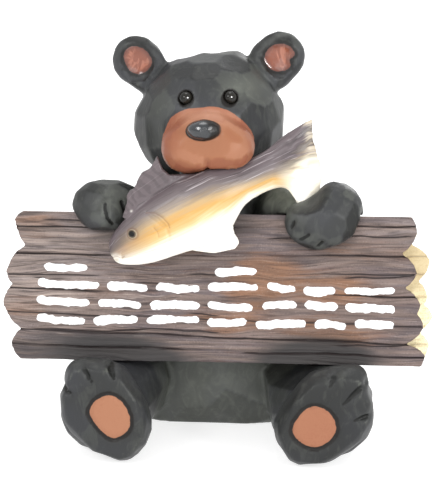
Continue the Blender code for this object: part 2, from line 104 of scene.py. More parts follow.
def tint(red: int, green: int, blue: int) -> Colour:
    """A paint colour as the eye reads it, 0 to 255 a channel, in the linear values that a shader takes."""
    shares = (channel / 255.0 for channel in (red, green, blue))
    return (*(s / 12.92 if s <= 0.04045 else ((s + 0.055) / 1.055) ** 2.4 for s in shares), 1.0)


class Slot(Enum):
    """The record's material slots."""

    CHARCOAL = "charcoal_paint"
    BOARD = "weathered_board_paint"
    TROUT = "trout_paint"
    BEAD = "bead_black"


# Shader sums


def sum_of(operation: str, swapped: bool = False) -> Callable[[Wire, Value], Wire]:
    """Makes a method of Wire that adds a Math node.

    Args:
        operation: the node's operation
        swapped: whether its two values change places

    Returns:
        the method
    """

    def method(this: Wire, other: Value) -> Wire:
        """The node's result."""
        return this.recipe.maths(operation, *((other, this) if swapped else (this, other)))

    return method


class Wire:
    """A shader socket that can be used in sums: each operator adds the Math node that works it out."""

    __add__ = __radd__ = sum_of("ADD")
    __mul__ = __rmul__ = sum_of("MULTIPLY")
    __sub__, __rsub__ = sum_of("SUBTRACT"), sum_of("SUBTRACT", True)
    __truediv__ = sum_of("DIVIDE")

    def __init__(self, recipe: Recipe, socket: NodeSocket) -> None:
        """Keeps the socket and the recipe whose nodes it belongs to."""
        self.recipe = recipe
        self.socket = socket

    def rising(self, low: float, high: float) -> Wire:
        """Runs smoothly from 0 to 1 between two values, and stays level past them.

        Args:
            low: the value that gives 0
            high: the value that gives 1, which may be the lower of the two

        Returns:
            the result
        """
        if high < low:
            return 1.0 - self.rising(high, low)
        settings = {"interpolation_type": "SMOOTHSTEP"}
        return self.recipe.node("MapRange", settings, {0: self, 1: low, 2: high})

    def positive(self) -> Wire:
        """This where it is above 0, and 0 elsewhere."""
        return self.recipe.most(self, 0.0)


Value = Union[Wire, float]
Paint = Union[Wire, Colour]


class Recipe:
    """The nodes of one finish, put together from expressions."""

    def __init__(self, name: str) -> None:
        """Starts a material with a plain shader.

        Args:
            name: the material's name
        """
        self.material = bpy.data.materials.new(name)
        self.material.use_nodes = True
        self.tree = self.material.node_tree
        self.shader = self.tree.nodes["Principled BSDF"]
        self.coords = self.node("TexCoord", output="Object")

    def _feed(self, socket: NodeSocket, value: Any) -> None:
        """Links a wire to a socket, or sets the value that the socket holds.

        Args:
            socket: the socket
            value: the wire or the value
        """
        if isinstance(value, Wire):
            self.tree.links.new(value.socket, socket)
        else:
            socket.default_value = value

    def node(
        self, kind: str, settings: Optional[Mapping[str, Any]] = None,
        values: Optional[Mapping[Union[int, str], Any]] = None, output: Union[int, str] = 0,
    ) -> Wire:
        """Adds a node of any kind.

        Args:
            kind: the node's type, without its ShaderNode
            settings: its own properties, which are set first; stops holds a colour ramp's places and colours
            values: what its sockets take, by name or number: wires, numbers or colours
            output: the socket that is wanted

        Returns:
            the wire from that socket
        """
        made = self.tree.nodes.new(f"ShaderNode{kind}")
        for key, setting in (settings or {}).items():
            if key == "stops":
                for index, (place, colour) in enumerate(setting):
                    ramp = made.color_ramp.elements
                    stop = ramp[index] if index < len(ramp) else ramp.new(place)
                    stop.position, stop.color = place, colour
            else:
                setattr(made, key, setting)
        for key, value in (values or {}).items():
            self._feed(made.inputs[key], value)
        return Wire(self, made.outputs[output])

    def maths(self, operation: str, *values: Value) -> Wire:
        """A Math node of these values."""
        return self.node("Math", {"operation": operation}, dict(enumerate(values)))

    def most(self, first: Value, second: Value) -> Wire:
        """The larger of two values."""
        return self.maths("MAXIMUM", first, second)

    def __getitem__(self, name: str) -> Wire:
        """The value of this name that the mesh carries at its points."""
        return self.node("Attribute", {"attribute_name": name}, output="Fac")

    def noise(
        self, size: float, stretch: Point = (1.0, 1.0, 1.0), detail: float = 3.0, rough: float = 0.5,
        twist: float = 0.0, along: Optional[Wire] = None,
    ) -> Wire:
        """Cloudy noise, from about 0.25 to 0.75.

        Args:
            size: the size of its waves in millimetres
            stretch: how many times longer they are along each axis
            detail: how many finer layers it has
            rough: the finer layers' strength
            twist: how far it is distorted
            along: coordinates in metres to use in place of the object's

        Returns:
            the noise
        """
        scale = tuple(1.0 / (size * MM * longer) for longer in stretch)
        spread = {"Vector": along or self.coords, "Scale": scale}
        placed = self.node("Mapping", {"vector_type": "POINT"}, spread)
        values = {"Vector": placed, "Scale": 1.0, "Detail": detail, "Roughness": rough, "Distortion": twist}
        return self.node("TexNoise", {"noise_dimensions": "3D"}, values)

    def coats(self, colour: Paint, *layers: tuple[Value, Paint]) -> Paint:
        """Lays colours over a colour, one after another.

        Args:
            colour: the lowest colour
            layers: the share of each that shows, from 0 to 1, and its colour

        Returns:
            the mixed colour
        """
        for share, layer in layers:
            colour = self.node("Mix", {"data_type": "RGBA"}, {0: share, 6: colour, 7: layer}, 2)
        return colour

    def ramp(self, value: Wire, *stops: tuple[float, Colour]) -> Wire:
        """Runs through colours as a value passes their places.

        Args:
            value: the value
            stops: each place and its colour

        Returns:
            the colour
        """
        low, high = stops[0][0], stops[-1][0]
        placed = [((place - low) / (high - low), colour) for place, colour in stops]
        return self.node("ValToRGB", {"stops": placed}, {0: (value - low) / (high - low)})

    def blend(self, share: Value, first: Value, second: Value) -> Wire:
        """A value that goes from the first to the second as share goes from 0 to 1."""
        return self.node("Mix", {"data_type": "FLOAT"}, {0: share, 2: first, 3: second})

    def relief(self, *layers: tuple[Wire, float]) -> Wire:
        """Adds heights to the surface, one on another.

        Args:
            layers: each height, from 0 to 1, and its depth in millimetres

        Returns:
            the normal
        """
        under: dict[str, Wire] = {}
        for height, depth in layers:
            values = {"Height": height, "Distance": depth * MM, "Strength": 1.0, **under}
            under = {"Normal": self.node("Bump", {}, values)}
        return under["Normal"]

    def finish(self, **sockets: Any) -> Material:
        """Feeds the shader's sockets.

        Args:
            sockets: what each is fed, by its name with _ for a space

        Returns:
            the material
        """
        for key, value in sockets.items():
            self._feed(self.shader.inputs[key.replace("_", " ").title().replace("Ior", "IOR")], value)
        return self.material


# Relief on points


class Whim:
    """Smooth noise on points, the same for the same seed."""

    LATTICE = 32

    def __init__(self, seed: int) -> None:
        """Fills the lattice that the noise runs through."""
        self.table = np.random.default_rng(seed).uniform(-1.0, 1.0, (self.LATTICE,) * 3)

    def at(self, points: Array, size: Union[float, Sequence[float]]) -> Array:
        """The noise at some points.

        Args:
            points: places in millimetres, a row each
            size: the size of its waves, or their size along each axis

        Returns:
            a value from -1 to 1 for each point
        """
        grid = points / np.asarray(size, float)
        cell = np.floor(grid).astype(int)
        part = grid - cell
        part = part * part * (3.0 - 2.0 * part)
        total = np.zeros(len(points))
        for corner in np.ndindex(2, 2, 2):
            share = np.prod(np.where(corner, part, 1.0 - part), axis=1)
            i, j, k = ((cell + corner) % self.LATTICE).T
            total += share * self.table[i, j, k]
        return total


def ease(values: Array, low: float, high: float) -> Array:
    """0 below low, 1 above high and smooth between them."""
    share = np.clip((values - low) / (high - low), 0.0, 1.0)
    return share * share * (3.0 - 2.0 * share)


def rounded(outline: Path, steps: int) -> Array:
    """Rounds an outline into a smooth closed curve.

    Args:
        outline: the places that it runs through
        steps: how many points there are from one place to the next

    Returns:
        the curve's points
    """
    here = np.array(outline, float)
    before, there, after = np.roll(here, 1, 0), np.roll(here, -1, 0), np.roll(here, -2, 0)
    bend = 2.0 * before - 5.0 * here + 4.0 * there - after
    turn = 3.0 * (here - there) + after - before
    shares = [step / steps for step in range(steps)]
    rows = [here + 0.5 * t * (there - before + t * (bend + t * turn)) for t in shares]
    return np.stack(rows, 1).reshape(-1, 2)


def line_gap(across: Array, up: Array, path: Path) -> Array:
    """Measures how far each place is from a bent line.

    Args:
        across: the places' first coordinate
        up: their second coordinate
        path: the line's corners

    Returns:
        the distances
    """
    nearest = np.full(len(across), np.inf)
    for (x0, y0), (x1, y1) in zip(path, path[1:]):
        run, rise = x1 - x0, y1 - y0
        share = np.clip(((across - x0) * run + (up - y0) * rise) / (run * run + rise * rise), 0.0, 1.0)
        nearest = np.minimum(nearest, np.hypot(across - x0 - share * run, up - y0 - share * rise))
    return nearest


def inside_by(across: Array, up: Array, *outlines: Path) -> Array:
    """How far inside the nearest of some smooth closed outlines each place lies.

    Args:
        across: the places' first coordinate
        up: their second coordinate
        outlines: the places that each outline runs through

    Returns:
        the distance to the outline, below zero outside it
    """
    found = []
    for outline in outlines:
        corners = rounded(outline, 5)
        corners = np.vstack((corners, corners[:1]))
        odd = np.zeros(len(across), bool)
        for (x0, y0), (x1, y1) in zip(corners, corners[1:]):
            if y0 != y1:
                odd ^= ((y0 > up) != (y1 > up)) & (across < (x1 - x0) * (up - y0) / (y1 - y0) + x0)
        nearest = line_gap(across, up, corners)
        found.append(np.where(odd, nearest, -nearest))
    return np.max(found, axis=0)


def hump(gap: Array, width: Amount) -> Array:
    """1 on a line and near 0 from about twice the width away."""
    return np.exp(-((gap / width) ** 2))


def patches(points: Array, places: Sequence[Patch]) -> Array:
    """Adds up the strength of soft patches at each point.

    Args:
        points: the points
        places: each patch's middle, reach and strength

    Returns:
        the strengths
    """
    total = np.zeros(len(points))
    for middle, reach, strength in places:
        total += strength * np.exp(-(((points - middle) / np.array(reach)) ** 2).sum(1) ** 1.5)
    return total


def ball_gap(points: Array, ball: Ball) -> Array:
    """How far each point is from a ball's centre, in shares of its radii."""
    return np.linalg.norm((points - ball[0]) / np.array(ball[1]), axis=1)


# Pieces


def mesh_of(name: str, bm: bmesh.types.BMesh) -> Mesh:
    """Makes a mesh from a bmesh, which is freed.

    Args:
        name: the mesh's name
        bm: its shape

    Returns:
        the mesh
    """
    mesh = bpy.data.meshes.new(name)
    bm.to_mesh(mesh)
    bm.free()
    return mesh


def show(name: str, data: ID) -> Object:
    """Puts a new object in the scene.

    Args:
        name: its name
        data: its mesh, light or camera

    Returns:
        the object
    """
    made = bpy.data.objects.new(name, data)
    bpy.context.scene.collection.objects.link(made)
    return made


class Skin:
    """A fine closed mesh over one solid of the frame, with its points in millimetres as an array."""

    def __init__(self, name: str, source: Object, cell: float, bounds: Bounds, lay: Matrix) -> None:
        """Covers a merged copy of the solid evenly with small faces.

        Args:
            name: the new piece's name
            source: the frame's object, which stays as it is
            cell: the size of the faces in millimetres
            bounds: the whole frame's corners, which the piece stays between
            lay: turns and squeezes the solid while it is covered, so that its faces come out longer one way
        """
        bm = bmesh.new()
        bm.from_mesh(source.data)
        bmesh.ops.remove_doubles(bm, verts=bm.verts[:], dist=WELD)
        bmesh.ops.transform(bm, matrix=lay, verts=bm.verts[:])
        rough = mesh_of(f"{name}_rough", bm)
        holder = show(f"{name}_holder", rough)
        cover = holder.modifiers.new("cover", "REMESH")
        cover.mode = "VOXEL"
        cover.voxel_size = cell * MM
        graph = bpy.context.evaluated_depsgraph_get()
        self.mesh = bpy.data.meshes.new_from_object(holder.evaluated_get(graph))
        bpy.data.objects.remove(holder, do_unlink=True)
        bpy.data.meshes.remove(rough)
        self.mesh.transform(lay.inverted())
        self.mesh.name = name
        self.source = source
        self.low, self.high = (np.array(corner) / MM for corner in bounds)
        self.points = self._read("vertices", "co", 3, np.float64) / MM
        self.ends = self._read("edges", "vertices", 2, np.int32)
        self.corners = self._read("loops", "vertex_index", 1, np.int32).reshape(-1, 4)
        counted = np.bincount(self.ends.ravel(), minlength=len(self.points))
        self.neighbours = np.maximum(counted, 1).astype(float)

    def _read(self, part: str, what: str, width: int, kind: type) -> Array:
        """Reads one property of all vertices, edges or loops.

        Args:
            part: which of them
            what: the property's name
            width: how many numbers each has
            kind: the numbers' type

        Returns:
            the values, as rows
        """
        items = getattr(self.mesh, part)
        values = np.empty(len(items) * width, kind)
        items.foreach_get(what, values)
        return values.reshape(-1, width)

    def normals(self) -> Array:
        """Works out which way the surface faces.

        Returns:
            the direction at each point
        """
        a, b, c, d = (self.points[corner] for corner in self.corners.T)
        facing = np.cross(c - a, d - b)
        total = np.zeros_like(self.points)
        for axis in range(3):
            for corner in self.corners.T:
                total[:, axis] += np.bincount(corner, weights=facing[:, axis], minlength=len(total))
        return total / np.maximum(np.linalg.norm(total, axis=1, keepdims=True), 1e-12)

    def spread(self, values: Array, steps: int, share: Amount = 0.5) -> Array:
        """Lets each point's value run towards its neighbours' mean.

        Args:
            values: a value or a row for each point
            steps: how many times
            share: how far each time, the same or for each point

        Returns:
            the evened values
        """
        flat = values.reshape(len(values), -1).astype(float)
        first, second = self.ends.T
        pace = np.broadcast_to(np.asarray(share, float), (len(flat),))
        for _ in range(steps):
            for column in range(flat.shape[1]):
                here = flat[:, column]
                total = np.bincount(first, weights=here[second], minlength=len(here))
                total += np.bincount(second, weights=here[first], minlength=len(here))
                flat[:, column] = here + pace * (total / self.neighbours - here)
        return flat.reshape(values.shape)

    def soften(self, steps: int, share: Amount = 0.5) -> None:
        """Wears the edges off."""
        self.points = self.spread(self.points, steps, share)

    def crowned(self, steps: int) -> Array:
        """How far each point stands out of its surroundings, in millimetres, below zero in a hollow."""
        return np.einsum("ij,ij->i", self.points - self.spread(self.points, steps), self.normals())

    def facets(self) -> Array:
        """Finds the solid's flat facet that each point lies on.

        Returns:
            the facets' directions
        """
        bm = bmesh.new()
        bm.from_mesh(self.source.data)
        tree = BVHTree.FromBMesh(bm)
        bm.free()
        return np.array([tree.find_nearest(Vector(point) * MM)[1] for point in self.points])

    def pull(self, pulls: Sequence[Pull]) -> None:
        """Moves soft patches of the skin."""
        for middle, reach, shift in pulls:
            self.points += patches(self.points, [(middle, reach, 1.0)])[:, None] * np.array(shift)

    def push(self, distance: Array) -> None:
        """Moves each point out by its distance, or in where that is below zero."""
        self.points += self.normals() * distance[:, None]

    def carry(self, **fields: Array) -> None:
        """Writes values for the finish to read.

        Args:
            fields: each field's values at the points, by its name
        """
        for name, values in fields.items():
            target = self.mesh.attributes.new(name, "FLOAT", "POINT")
            target.data.foreach_set("value", values.astype(np.float32))

    def settle(self) -> Mesh:
        """Writes the points to the mesh, within the frame's box.

        Returns:
            the mesh
        """
        self.points = np.clip(self.points, self.low, self.high)
        self.mesh.vertices.foreach_set("co", (self.points * MM).astype(np.float32).ravel())
        self.mesh.update()
        return self.mesh


def declare(mesh: Mesh, finish: Material, slot: Slot, *nodes: str) -> Object:
    """Shows a mesh as a piece, and says what it rides on.

    Args:
        mesh: the finished mesh
        finish: its material
        slot: the record's material slot
        nodes: the frame's nodes that it replaces

    Returns:
        the piece
    """
    mesh.shade_smooth()
    mesh.materials.clear()
    mesh.materials.append(finish)
    piece = show(mesh.name, mesh)
    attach(piece, BODY)
    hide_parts(*nodes)
    log.info("%s: %d faces, %s", piece.name, len(mesh.polygons), slot.value)
    return piece


@dataclass
class Covered:
    """A piece that is carved out of a skin over its solid: its name, its slot and the size of its faces."""

    name: str
    slot: Slot
    cell: float

    def lay(self) -> Matrix:
        """How the solid is turned and squeezed while it is covered."""
        return Matrix()

    def carve(self, skin: Skin) -> None:
        """Shapes the skin and writes the fields that the paint reads."""
        raise NotImplementedError

    def build(self, node: Object, bounds: Bounds, finish: Material) -> Object:
        """Makes the piece over its solid.

        Args:
            node: the solid
            bounds: the corners of the frame's box
            finish: the piece's material

        Returns:
            the piece
        """
        skin = Skin(self.name, node, self.cell, bounds, self.lay())
        self.carve(skin)
        return declare(skin.settle(), finish, self.slot, node.name)


# The bear


@dataclass(frozen=True)
class CharcoalPaint:
    """Hand-painted charcoal, near black in the gouges, with ridges brushed lightly in a paler paint, the
    bear's painted patches, painted shade in its hollows and patches of painted highlight and painted shade.

    It reads the fields that the bear's mesh carries: how far inside the muzzle's, nose's, ears' and pads'
    paint each point is, how far from the nearer eye, its ridges, hollows and gouges, and where its painted
    light and shade lie.
    """

    coat: Colour = tint(48, 49, 49)
    cool: Colour = tint(53, 54, 57)
    # The greenish dark of the painted shade in the hollows
    hollow_shade: Colour = tint(36, 39, 34)
    # Darker paint for random darker facets and the gouges, and for painted shade
    dark_tone_and_shade: Colour = tint(14, 15, 13)
    # Paler paint for brushwork on ridges and facets, and for painted highlights
    pale_paint: Colour = tint(140, 144, 132)
    muzzle: Colour = tint(143, 93, 65)
    # Paler tan for the painted highlight on the muzzle's top and for its paler facets
    muzzle_pale_and_highlight: Colour = tint(166, 118, 94)
    # Darker tan for painted shade on the muzzle and the pads, and for random mottling and the muzzle's gouges
    tan_dark_and_shade: Colour = tint(132, 78, 56)
    # Where the painted highlight along the muzzle's top begins and ends, in metres above the seat
    muzzle_highlight_band: Place = (0.143, 0.152)
    nose: Colour = tint(30, 34, 38)
    ear: Colour = tint(124, 67, 47)
    # Painted shade in the ears' bowls, near their rims
    ear_rim_shade: Colour = tint(84, 42, 32)
    # Painted highlights streaked over the ears' inner paint
    ear_painted_highlight: Colour = tint(186, 122, 98)
    pad: Colour = tint(154, 106, 80)
    ring: Colour = tint(20, 17, 15)
    sheen: float = 0.44
    edge: float = 0.35

    def make(self) -> Material:
        """Mixes the finish.

        Returns:
            the material
        """
        recipe = Recipe("charcoal_coat")
        cloud = recipe.noise(26.0, detail=2.0)
        brush = recipe.noise(2.2, (1, 1, 4), 4.0, 0.6, 0.3)
        sweep = recipe.noise(5, (1, 1, 2.2), 3.0, 0.6, 1.4)
        grit = recipe.noise(0.8, detail=2.0)
        wobble = (recipe.noise(2.4, detail=2.0) - 0.5) * 1.1
        facet, tone, gouge = recipe["facet"], recipe["tone"], recipe["gouge"]
        names = ("ear_in", "muzzle_in", "pad_in", "nose_in")
        ear_in, muzzle_in, pad_in, nose_in = (recipe[name] for name in names)
        # The patches have the unsteady edge of a brush
        ears, muzzle, pads, nose = (
            (inside + wobble * unsteady).rising(-self.edge / 2.0, self.edge / 2.0)
            for inside, unsteady in ((ear_in, 1.0), (muzzle_in, 0.5), (pad_in, 0.6), (nose_in, 0.3))
        )
        # Dark rings round the pads' paint, and round the ears' paint as painted shade of their rims
        rings = recipe.most(
            (pad_in + wobble).rising(-2.2, -1.3), (ear_in + wobble * 2.0).rising(-2.0, -0.8) * 0.75
        )
        sockets = (recipe["eye_gap"] + wobble * 0.4).rising(4.2, 3.4)
        # The muzzle's top is painted paler as a painted highlight where light falls on it
        muzzle_highlight_band = recipe.node("SeparateXYZ", {}, {0: recipe.coords}, 2).rising(*self.muzzle_highlight_band)
        # Painted shade towards the muzzle's edge, with random darker facets and streaks
        shade = muzzle_in.rising(3.0, 0.0) * (0.25 + cloud * 0.6)
        shade += facet.rising(0.0, -0.5) * (1.0 - muzzle_highlight_band) * 0.75
        shade += (sweep - 0.5) * 0.5
        tan = recipe.coats(
            self.muzzle, (muzzle_highlight_band, self.muzzle_pale_and_highlight), (facet.rising(0.1, 0.6) * 0.35, self.muzzle_pale_and_highlight),
            (shade + (tone * -0.8).positive() + gouge * 0.5, self.tan_dark_and_shade),
        )
        # The ears' inner paint, with painted highlights and with painted shade near the rims
        inner = recipe.coats(
            self.ear, (sweep.rising(0.50, 0.70) * 0.5, self.ear_painted_highlight),
            (ear_in.rising(2.6, -0.2) * 0.85, self.ear_rim_shade),
        )
        # The pads are mottled at random and carry painted shade where the shade patches darken them
        pad = recipe.coats(
            self.pad, ((grit + cloud).rising(0.85, 1.25) * 0.25, self.tan_dark_and_shade),
            ((tone * -0.5 - 0.25).positive(), self.tan_dark_and_shade),
        )
        ridge = recipe["ridge"] + (brush - 0.5) * 0.9 + (grit - 0.5) * 0.4
        colour = recipe.coats(
            self.coat,
            (cloud.rising(0.42, 0.62), self.cool),
            (facet.rising(0.0, -0.6) * 0.55, self.dark_tone_and_shade),
            (facet.rising(0.1, 0.7) * 0.09, self.pale_paint),
            # Soft patches of painted highlight, then of painted shade
            ((tone * (0.3 + sweep * 1.4)).positive() * 0.08, self.pale_paint),
            ((tone * -0.5).positive(), self.dark_tone_and_shade),
            # Painted shade in the hollows
            (recipe["hollow"] * 0.8, self.hollow_shade),
            # Random pale brushwork, and on the belly a paler coat that is partly brushwork and partly painted
            # light where the board keeps light off
            (sweep.rising(0.48, 0.68) * 0.05 + recipe["belly"] * (sweep * 0.12 + 0.07), self.pale_paint),
            ((gouge + (brush - 0.5) * 0.3).rising(0.2, 0.6) * 0.95, self.dark_tone_and_shade),
            (ridge.rising(0.35, 1.1) * 0.4, self.pale_paint),
            (recipe.most(rings, sockets), self.ring),
            (muzzle, tan),
            (ears, inner),
            (pads, pad),
            ((nose_in + wobble * 0.3).rising(-0.9, -0.3), self.ring),
            (nose, self.nose),
        )
        gloss = recipe.most(nose, ears * 0.8)
        matt = recipe.blend(pads, self.sheen + (brush - 0.5) * 0.2, 0.7)
        return recipe.finish(
            base_color=colour, roughness=recipe.blend(gloss, matt, 0.2),
            normal=recipe.relief((brush, 0.10), (grit, 0.03)),
            coat_weight=gloss, coat_roughness=0.14, specular_ior_level=0.28,
        )


@dataclass
class Bear(Covered):
    """The seated bear: softened knife facets, its gouges, and the places of its paint."""

    name: str = "bear_body"
    slot: Slot = Slot.CHARCOAL
    cell: float = 1.06
    muzzle: Path = (
        (2, 153), (8, 151.5), (14, 147.5), (18, 142.5), (20, 136), (19, 131), (15, 128.5), (7, 126.5),
        (1, 126), (-4, 125.5), (-11, 127.5), (-16, 131.5), (-19.5, 137.5), (-19.5, 141), (-16.5, 147.5),
        (-10, 151.5), (-4, 152.5),
    )
    # Where the carving departs from the solid: middle, reach, shift
    pulls: Sequence[Pull] = (
        ((14, 2, 166), (14, 22, 8), (0, 0, 3.9)), ((19.5, 0, 172), (6, 20, 8), (-1.2, 0, 0.5)),
        ((-37, -2, 136), (8, 30, 17), (-1.6, 0, 0)), ((36, 0, 138), (8, 30, 14), (0.4, 0, 0)),
        ((-60, -72, 44), (10, 26, 7.5), (-2.8, 0, 2.4)), ((-55, -76, 10), (14, 22, 9), (-1, 0, -1.3)),
        ((-67, -75, 17), (9, 22, 13), (-2.2, 0, -0.4)), ((67, -72, 44), (10, 26, 8.5), (4.2, 0, 3.4)),
        ((56, -76, 8), (10, 22, 8), (0.8, 0, -1)), ((42.5, -55, 117.5), (6.5, 40, 7), (1.6, 0, -3.2)),
        ((35, 0, 151), (8, 30, 8), (0.9, 0, 0)), ((35, -60, 104), (6, 24, 9), (-2.6, 0, 0)),
        ((52, -52, 123.5), (6, 24, 6), (0, 0, 1.6)), ((-44, 0, 168), (5, 30, 12), (-0.4, 0, 0)),
        ((-22, 0, 166), (9, 24, 7), (0, 0, 1.5)), ((-38, 0, 177), (8, 30, 5), (-0.3, 0, 0.2)),
        ((69, -74, 17), (9, 22, 14), (1.3, 0, 0)), ((-26, -76, 7), (8, 20, 9), (-1.8, 0, 1.2)),
        ((30, -76, 6), (7, 20, 8), (1.2, 0, 1.2)),
    )
    # Patches of painted highlight and painted shade on the coat: middle, reach, strength, above 0 for a
    # painted highlight and below 0 for painted shade
    tones: Sequence[Patch] = (
        ((13.3, -27, 159.3), (9.5, 30, 5.2), 1.9), ((-32.5, -5, 139), (3.5, 34, 13), 0.8),
        ((29.5, -12, 146), (5, 34, 13), 0.7), ((27.5, -12, 131), (8, 34, 7), -1.9),
        ((-28, -10, 136.5), (7.5, 34, 13), -2.6), ((-21, -25, 121.5), (9, 30, 7), -1.3),
        ((0, -20, 166), (26, 34, 6), -0.3), ((-16.5, -46, 139.5), (6.5, 12, 8.5), -1.2),
        ((32, -26, 111), (12, 19, 8), 10), ((-43, -52, 107), (7, 30, 10), 1.6),
        ((2, -40, 22), (28, 30, 16), 0.7), ((-18, -40, 24), (9, 30, 14), -1.2),
        ((52, -82, 22), (30, 9, 30), -1.15), ((-44, -82, 26), (30, 9, 30), -0.6),
    )
    # The muzzle's own bulges: centre and radii
    cheeks: Sequence[Ball] = (
        ((-9.6, -44, 135), (11, 13, 11.2)), ((9.4, -44, 135.2), (11, 13, 11.2)),
        ((-0.3, -42, 142.6), (12.5, 12, 9)),
    )
    nose: Ball = ((-1.5, -54.6, 144.8), (6.7, 5, 4.1))
    # The nose's flats: where they face, and how deep they cut
    nose_flats: Sequence[tuple[Point, float]] = (
        ((-0.226, -0.889, 0.398), 0.16), ((0.42, -0.86, 0.29), 0.2), ((-0.5, -0.8, -0.2), 0.3),
    )
    nostril: Path = ((-0.9, 146), (0.9, 143.2))
    ears: Sequence[Path] = (
        (
            (-40.5, 170.5), (-38, 174), (-34, 174.5), (-30, 172.5), (-27.5, 168), (-29, 164.5),
            (-32.5, 162.3), (-36.5, 162.5), (-39.5, 166),
        ),
        (
            (23, 169.5), (24.5, 174), (28.5, 176.5), (33.5, 175.8), (36.2, 172.8), (36, 170.8), (34.2, 169),
            (35, 167), (33.5, 165), (30, 164), (26.5, 164.5), (24, 167),
        ),
    )
    pads: Sequence[Path] = (
        (
            (-49.3, 24.5), (-46.5, 29.3), (-40.5, 32), (-35, 29), (-31.8, 23), (-32.5, 16.5), (-38.5, 12.5),
            (-44, 15.5), (-48, 20.5),
        ),
        (
            (39.2, 19), (42, 13.5), (48.5, 10.5), (54.5, 13), (58, 18.5), (55.5, 25.5), (49.3, 28.8),
            (43.5, 26.5),
        ),
    )
    eyes: Sequence[Place] = ((-10.1, 155.8), (9.1, 156.1))
    cleft: Path = ((0.2, 132), (0.4, 125))
    toes: Sequence[tuple[Place, Place]] = (
        ((-57.1, 31.7), (-60.5, 33.7)), ((-48.5, 37.6), (-51.4, 42.8)), ((-38.3, 39.2), (-40, 43.6)),
        ((55.1, 37.4), (56.6, 41.8)), ((61.2, 30), (68.3, 37)), ((66.1, 22.8), (71, 24.4)),
    )
    # The creases between the fingers, of the left paw and then the right one
    creases: Sequence[Path] = (
        ((-45.1, 110.1), (-44.8, 107.4), (-43.8, 103.8), (-42, 100.8)),
        ((-38, 111), (-36.9, 107.8), (-36.4, 105.6)), ((37.9, 103.8), (37.3, 102.3), (36.7, 100.9)),
        ((44.5, 98.4), (42.9, 97.1), (41, 96)), ((50.6, 95.2), (49.8, 94.2), (48.8, 93.1)),
    )
    # The solid's own straighter creases, which are filled
    filled: Sequence[Path] = (
        ((-46.3, 110), (-45.7, 107.2), (-44, 103.7), (-41.3, 100.3)),
        ((-42.8, 113), (-42.3, 111), (-40.1, 107.6), (-38.9, 102.9)),
        ((35.1, 105.2), (38.1, 102.5), (40.7, 100), (44.3, 97.5), (46.7, 95)),
        ((48.7, 96.7), (52.1, 94), (54.7, 91.7)),
    )
    # How far forward the parts reach whose gouges or paint lie on their front alone
    ear_front: float = -8.5
    arm_front: float = -20.0
    head_front: float = -28.0
    cheek_front: float = -36.0
    paw_front: float = -40.0
    muzzle_front: float = -45.0
    foot_front: float = -60.0
    sole_front: float = -74.0
    ear_floor: float = 158.0
    # Widths of the gouges, and the depth of the ring round each pad
    crease_width: float = 0.75
    cleft_width: float = 0.9
    nostril_width: float = 0.5
    ring_width: float = 0.9
    ring_depth: float = 0.6
    facet_seed: int = 21
    knife_seed: int = 5

    def _gouges(self, skin: Skin) -> Array:
        """Finds the gouges of the feet, the paws and the face.

        Args:
            skin: the bear's skin

        Returns:
            1 at each point in the middle of a gouge, and 0 away from it
        """
        x, y, z = skin.points.T
        cuts = []
        for inner, outer in self.toes:
            run, rise = outer[0] - inner[0], outer[1] - inner[1]
            reach = ((x - inner[0]) * run + (z - inner[1]) * rise) / (run * run + rise * rise)
            width = 0.55 + 0.65 * np.clip(reach, 0.0, 1.0)
            cuts.append(hump(line_gap(x, z, (inner, outer)), width) * (y < self.foot_front))
        lines = [(path, self.crease_width, self.arm_front) for path in self.creases]
        lines.append((self.cleft, self.cleft_width, self.muzzle_front))
        lines.append((self.nostril, self.nostril_width, self.muzzle_front))
        cuts += [hump(line_gap(x, z, path), width) * (y < front) for path, width, front in lines]
        return np.max(cuts, axis=0) * (skin.normals()[:, 1] < 0.1)

    def _muzzle(self, skin: Skin) -> Array:
        """Measures the muzzle's paint, within its outline from the front or on its cheeks.

        Args:
            skin: the bear's skin

        Returns:
            how far inside it each point is
        """
        x, y, z = skin.points.T
        inside = [np.where(y < self.head_front, inside_by(x, z, self.muzzle), OUT)]
        for cheek in self.cheeks:
            depth = np.minimum(0.9 - (ball_gap(skin.points, cheek) - 1.0) * 10.0, 4.0)
            inside.append(np.where(y < self.cheek_front, depth, OUT))
        return np.max(inside, axis=0)

    def _flatten_nose(self, skin: Skin) -> None:
        """Cuts the nose's flats, which catch the light.

        Args:
            skin: the bear's skin
        """
        centre, radii = self.nose
        near = ball_gap(skin.points, self.nose) < 1.3
        for facing, cut in self.nose_flats:
            across = np.array(facing) / np.linalg.norm(facing)
            reach = np.linalg.norm(across * radii) - cut
            beyond = np.maximum((skin.points - centre) @ across - reach, 0.0) * near
            skin.points -= beyond[:, None] * across

